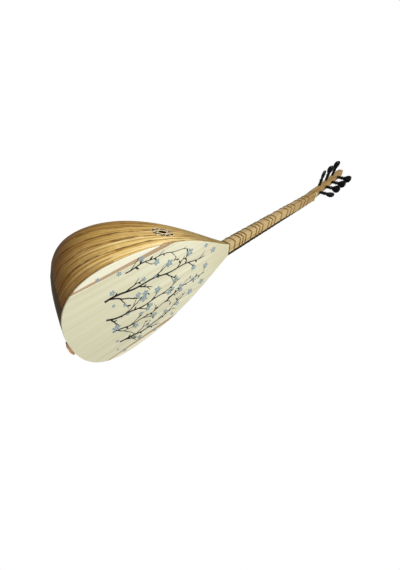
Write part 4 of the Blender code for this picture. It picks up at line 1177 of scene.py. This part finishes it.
peg_black = Finish("near_black_peg", {"Specular IOR Level": 0.14, "Coat Weight": 0.2, "Coat Roughness": 0.06})
place = peg_black.place()
grain = peg_black.noise(place * (500, 120, 500), 4, 0.6)
peg_black.feed(Base_Color=peg_black.ramp(grain, (0.35, colour(2, 4, 4)), (0.7, colour(12, 14, 14))),
               Roughness=0.16 + 0.14 * grain)
peg_black.bump(grain, 0.00004, 0.4)


def eased(place, stations, values):
    """A smooth curve's height at a place, through values at stations."""
    slopes = np.gradient(values, stations)
    k = min(int(np.searchsorted(stations, place, 'right')) - 1, len(stations) - 2)
    gap = stations[k + 1] - stations[k]
    t = (place - stations[k]) / gap
    return (values[k] * (1 + 2 * t) * (1 - t)**2 + slopes[k] * gap * t * (1 - t)**2
            + values[k + 1] * t * t * (3 - 2 * t) + slopes[k + 1] * gap * t * t * (t - 1))


for name, seat, facing, through, turn in pegs:
    turned = Matrix.Rotation(math.radians(turn), 4, 'Z')
    place = HEAD_PLACE @ Matrix.Translation(seat) @ facing.to_matrix().to_4x4() @ turned
    tail = -through - PEG_TAIL
    bottom = PEG_NECK + PEG_COLLAR
    turnings = ((tail, TAIL_TURNING), (0, ((0, PEG_RADIUS),)), (PEG_NECK, COLLAR_TURNING),
                (bottom, KNOB_TURNING))
    profile = [(start + z, radius, radius) for start, turning in turnings for z, radius in turning]
    for share in 1 - np.linspace(KNOB_START, 0, KNOB_RINGS)**KNOB_CROWDING:
        wide = eased(share, KNOB_STATIONS, KNOB_WIDTHS) * KNOB_WIDTH / 2
        thick = eased(share, KNOB_STATIONS, KNOB_THICKNESSES) * KNOB_THICKNESS / 2
        profile.append((bottom + share * (PEG_REACH - bottom), wide, thick))
    peg = new_piece(f"polished_{name}", *loft([round_ring(place, *ring, PEG_SIDES) for ring in profile]),
                    peg_black, crease=50)
    fit(peg, name, "peg_black", name)


# Studio: a round pale floor well under the instrument, one large soft lamp in front on the bass side, a
# weak one behind it on the same side and one behind on the treble side. The surround is white to the
# camera and lights the instrument evenly and more weakly.
FLOOR_RADIUS = 0.40
FLOOR_BACK = 0.12
FLOOR_SIDES = 96
FLOOR_EDGE = ((0.99, -0.510), (1, -0.508), (1, -0.494), (0.995, -0.491), (0.985, -0.490))

floor_paint = Finish("pale_floor", {"Roughness": 0.6})
speckle = floor_paint.noise(floor_paint.place() * 40, 3, 0.5)
shade = floor_paint.ramp(speckle, (0.3, colour(240, 240, 240)), (0.7, colour(246, 246, 246)))
floor_paint.feed(Base_Color=shade)
disc = [[(FLOOR_RADIUS * share * math.cos(a), FLOOR_BACK + FLOOR_RADIUS * share * math.sin(a), z)
         for a in np.linspace(0, 2 * math.pi, FLOOR_SIDES, endpoint=False)]
        for share, z in FLOOR_EDGE]
floor = new_piece("studio_floor", *loft(disc), floor_paint)

world = bpy.data.worlds.new("surround")
world.use_nodes = True
bpy.context.scene.world = world
surround = NodeBoard(world.node_tree, "World Output")
surround.tree.nodes.remove(surround.tree.nodes["Background"])
to_camera = surround.node('ShaderNodeLightPath', {}, {}, "Is Camera Ray")
through_glass = surround.node('ShaderNodeLightPath', {}, {}, "Is Transmission Ray")
seen = surround.node('ShaderNodeMath', {"operation": 'MAXIMUM'}, {0: to_camera, 1: through_glass})
soft = surround.node('ShaderNodeBackground', {}, {"Color": (1.0, 0.98, 0.94, 1), "Strength": 0.28})
white = surround.node('ShaderNodeBackground', {}, {"Color": (1, 1, 1, 1), "Strength": 1.0})
surround.feed(Surface=surround.node('ShaderNodeMixShader', {}, {0: seen, 1: soft, 2: white}))


def soft_lamp(name, place, aim, size, power):
    """A round softbox of a size in metres and a power in watts, turned to its aim."""
    data = bpy.data.lights.new(name, 'AREA')
    data.shape = 'DISK'
    data.size = size
    data.energy = power
    lamp = bpy.data.objects.new(name, data)
    bpy.context.scene.collection.objects.link(lamp)
    lamp.location = place
    lamp.rotation_euler = (Vector(aim) - Vector(place)).to_track_quat('-Z', 'Y').to_euler()


soft_lamp("front_softbox", (-1.35, -1.45, 0.85), (0, 0.05, 0.2), 1.3, 67)
soft_lamp("side_softbox", (-1.1, 0.75, 1.3), (0, 0.05, 0.2), 0.9, 1.4)
soft_lamp("back_softbox", (1.6, 1.2, 0.6), (0, 0.05, 0.3), 1.6, 5.5)

bpy.context.scene.view_settings.view_transform = 'Standard'
lens = bpy.data.cameras.new("camera")
lens.sensor_width = 36
lens.lens = 15.8166
lens.shift_x = 0.028462
lens.shift_y = 0.031007
lens.clip_start = 0.01
camera = bpy.data.objects.new("camera", lens)
camera.location = (-0.40139586, -0.312013, -0.09531856)
camera.rotation_euler = [math.radians(angle) for angle in (128.38988, -49.54593, -88.46377)]
bpy.context.scene.collection.objects.link(camera)
bpy.context.scene.camera = camera
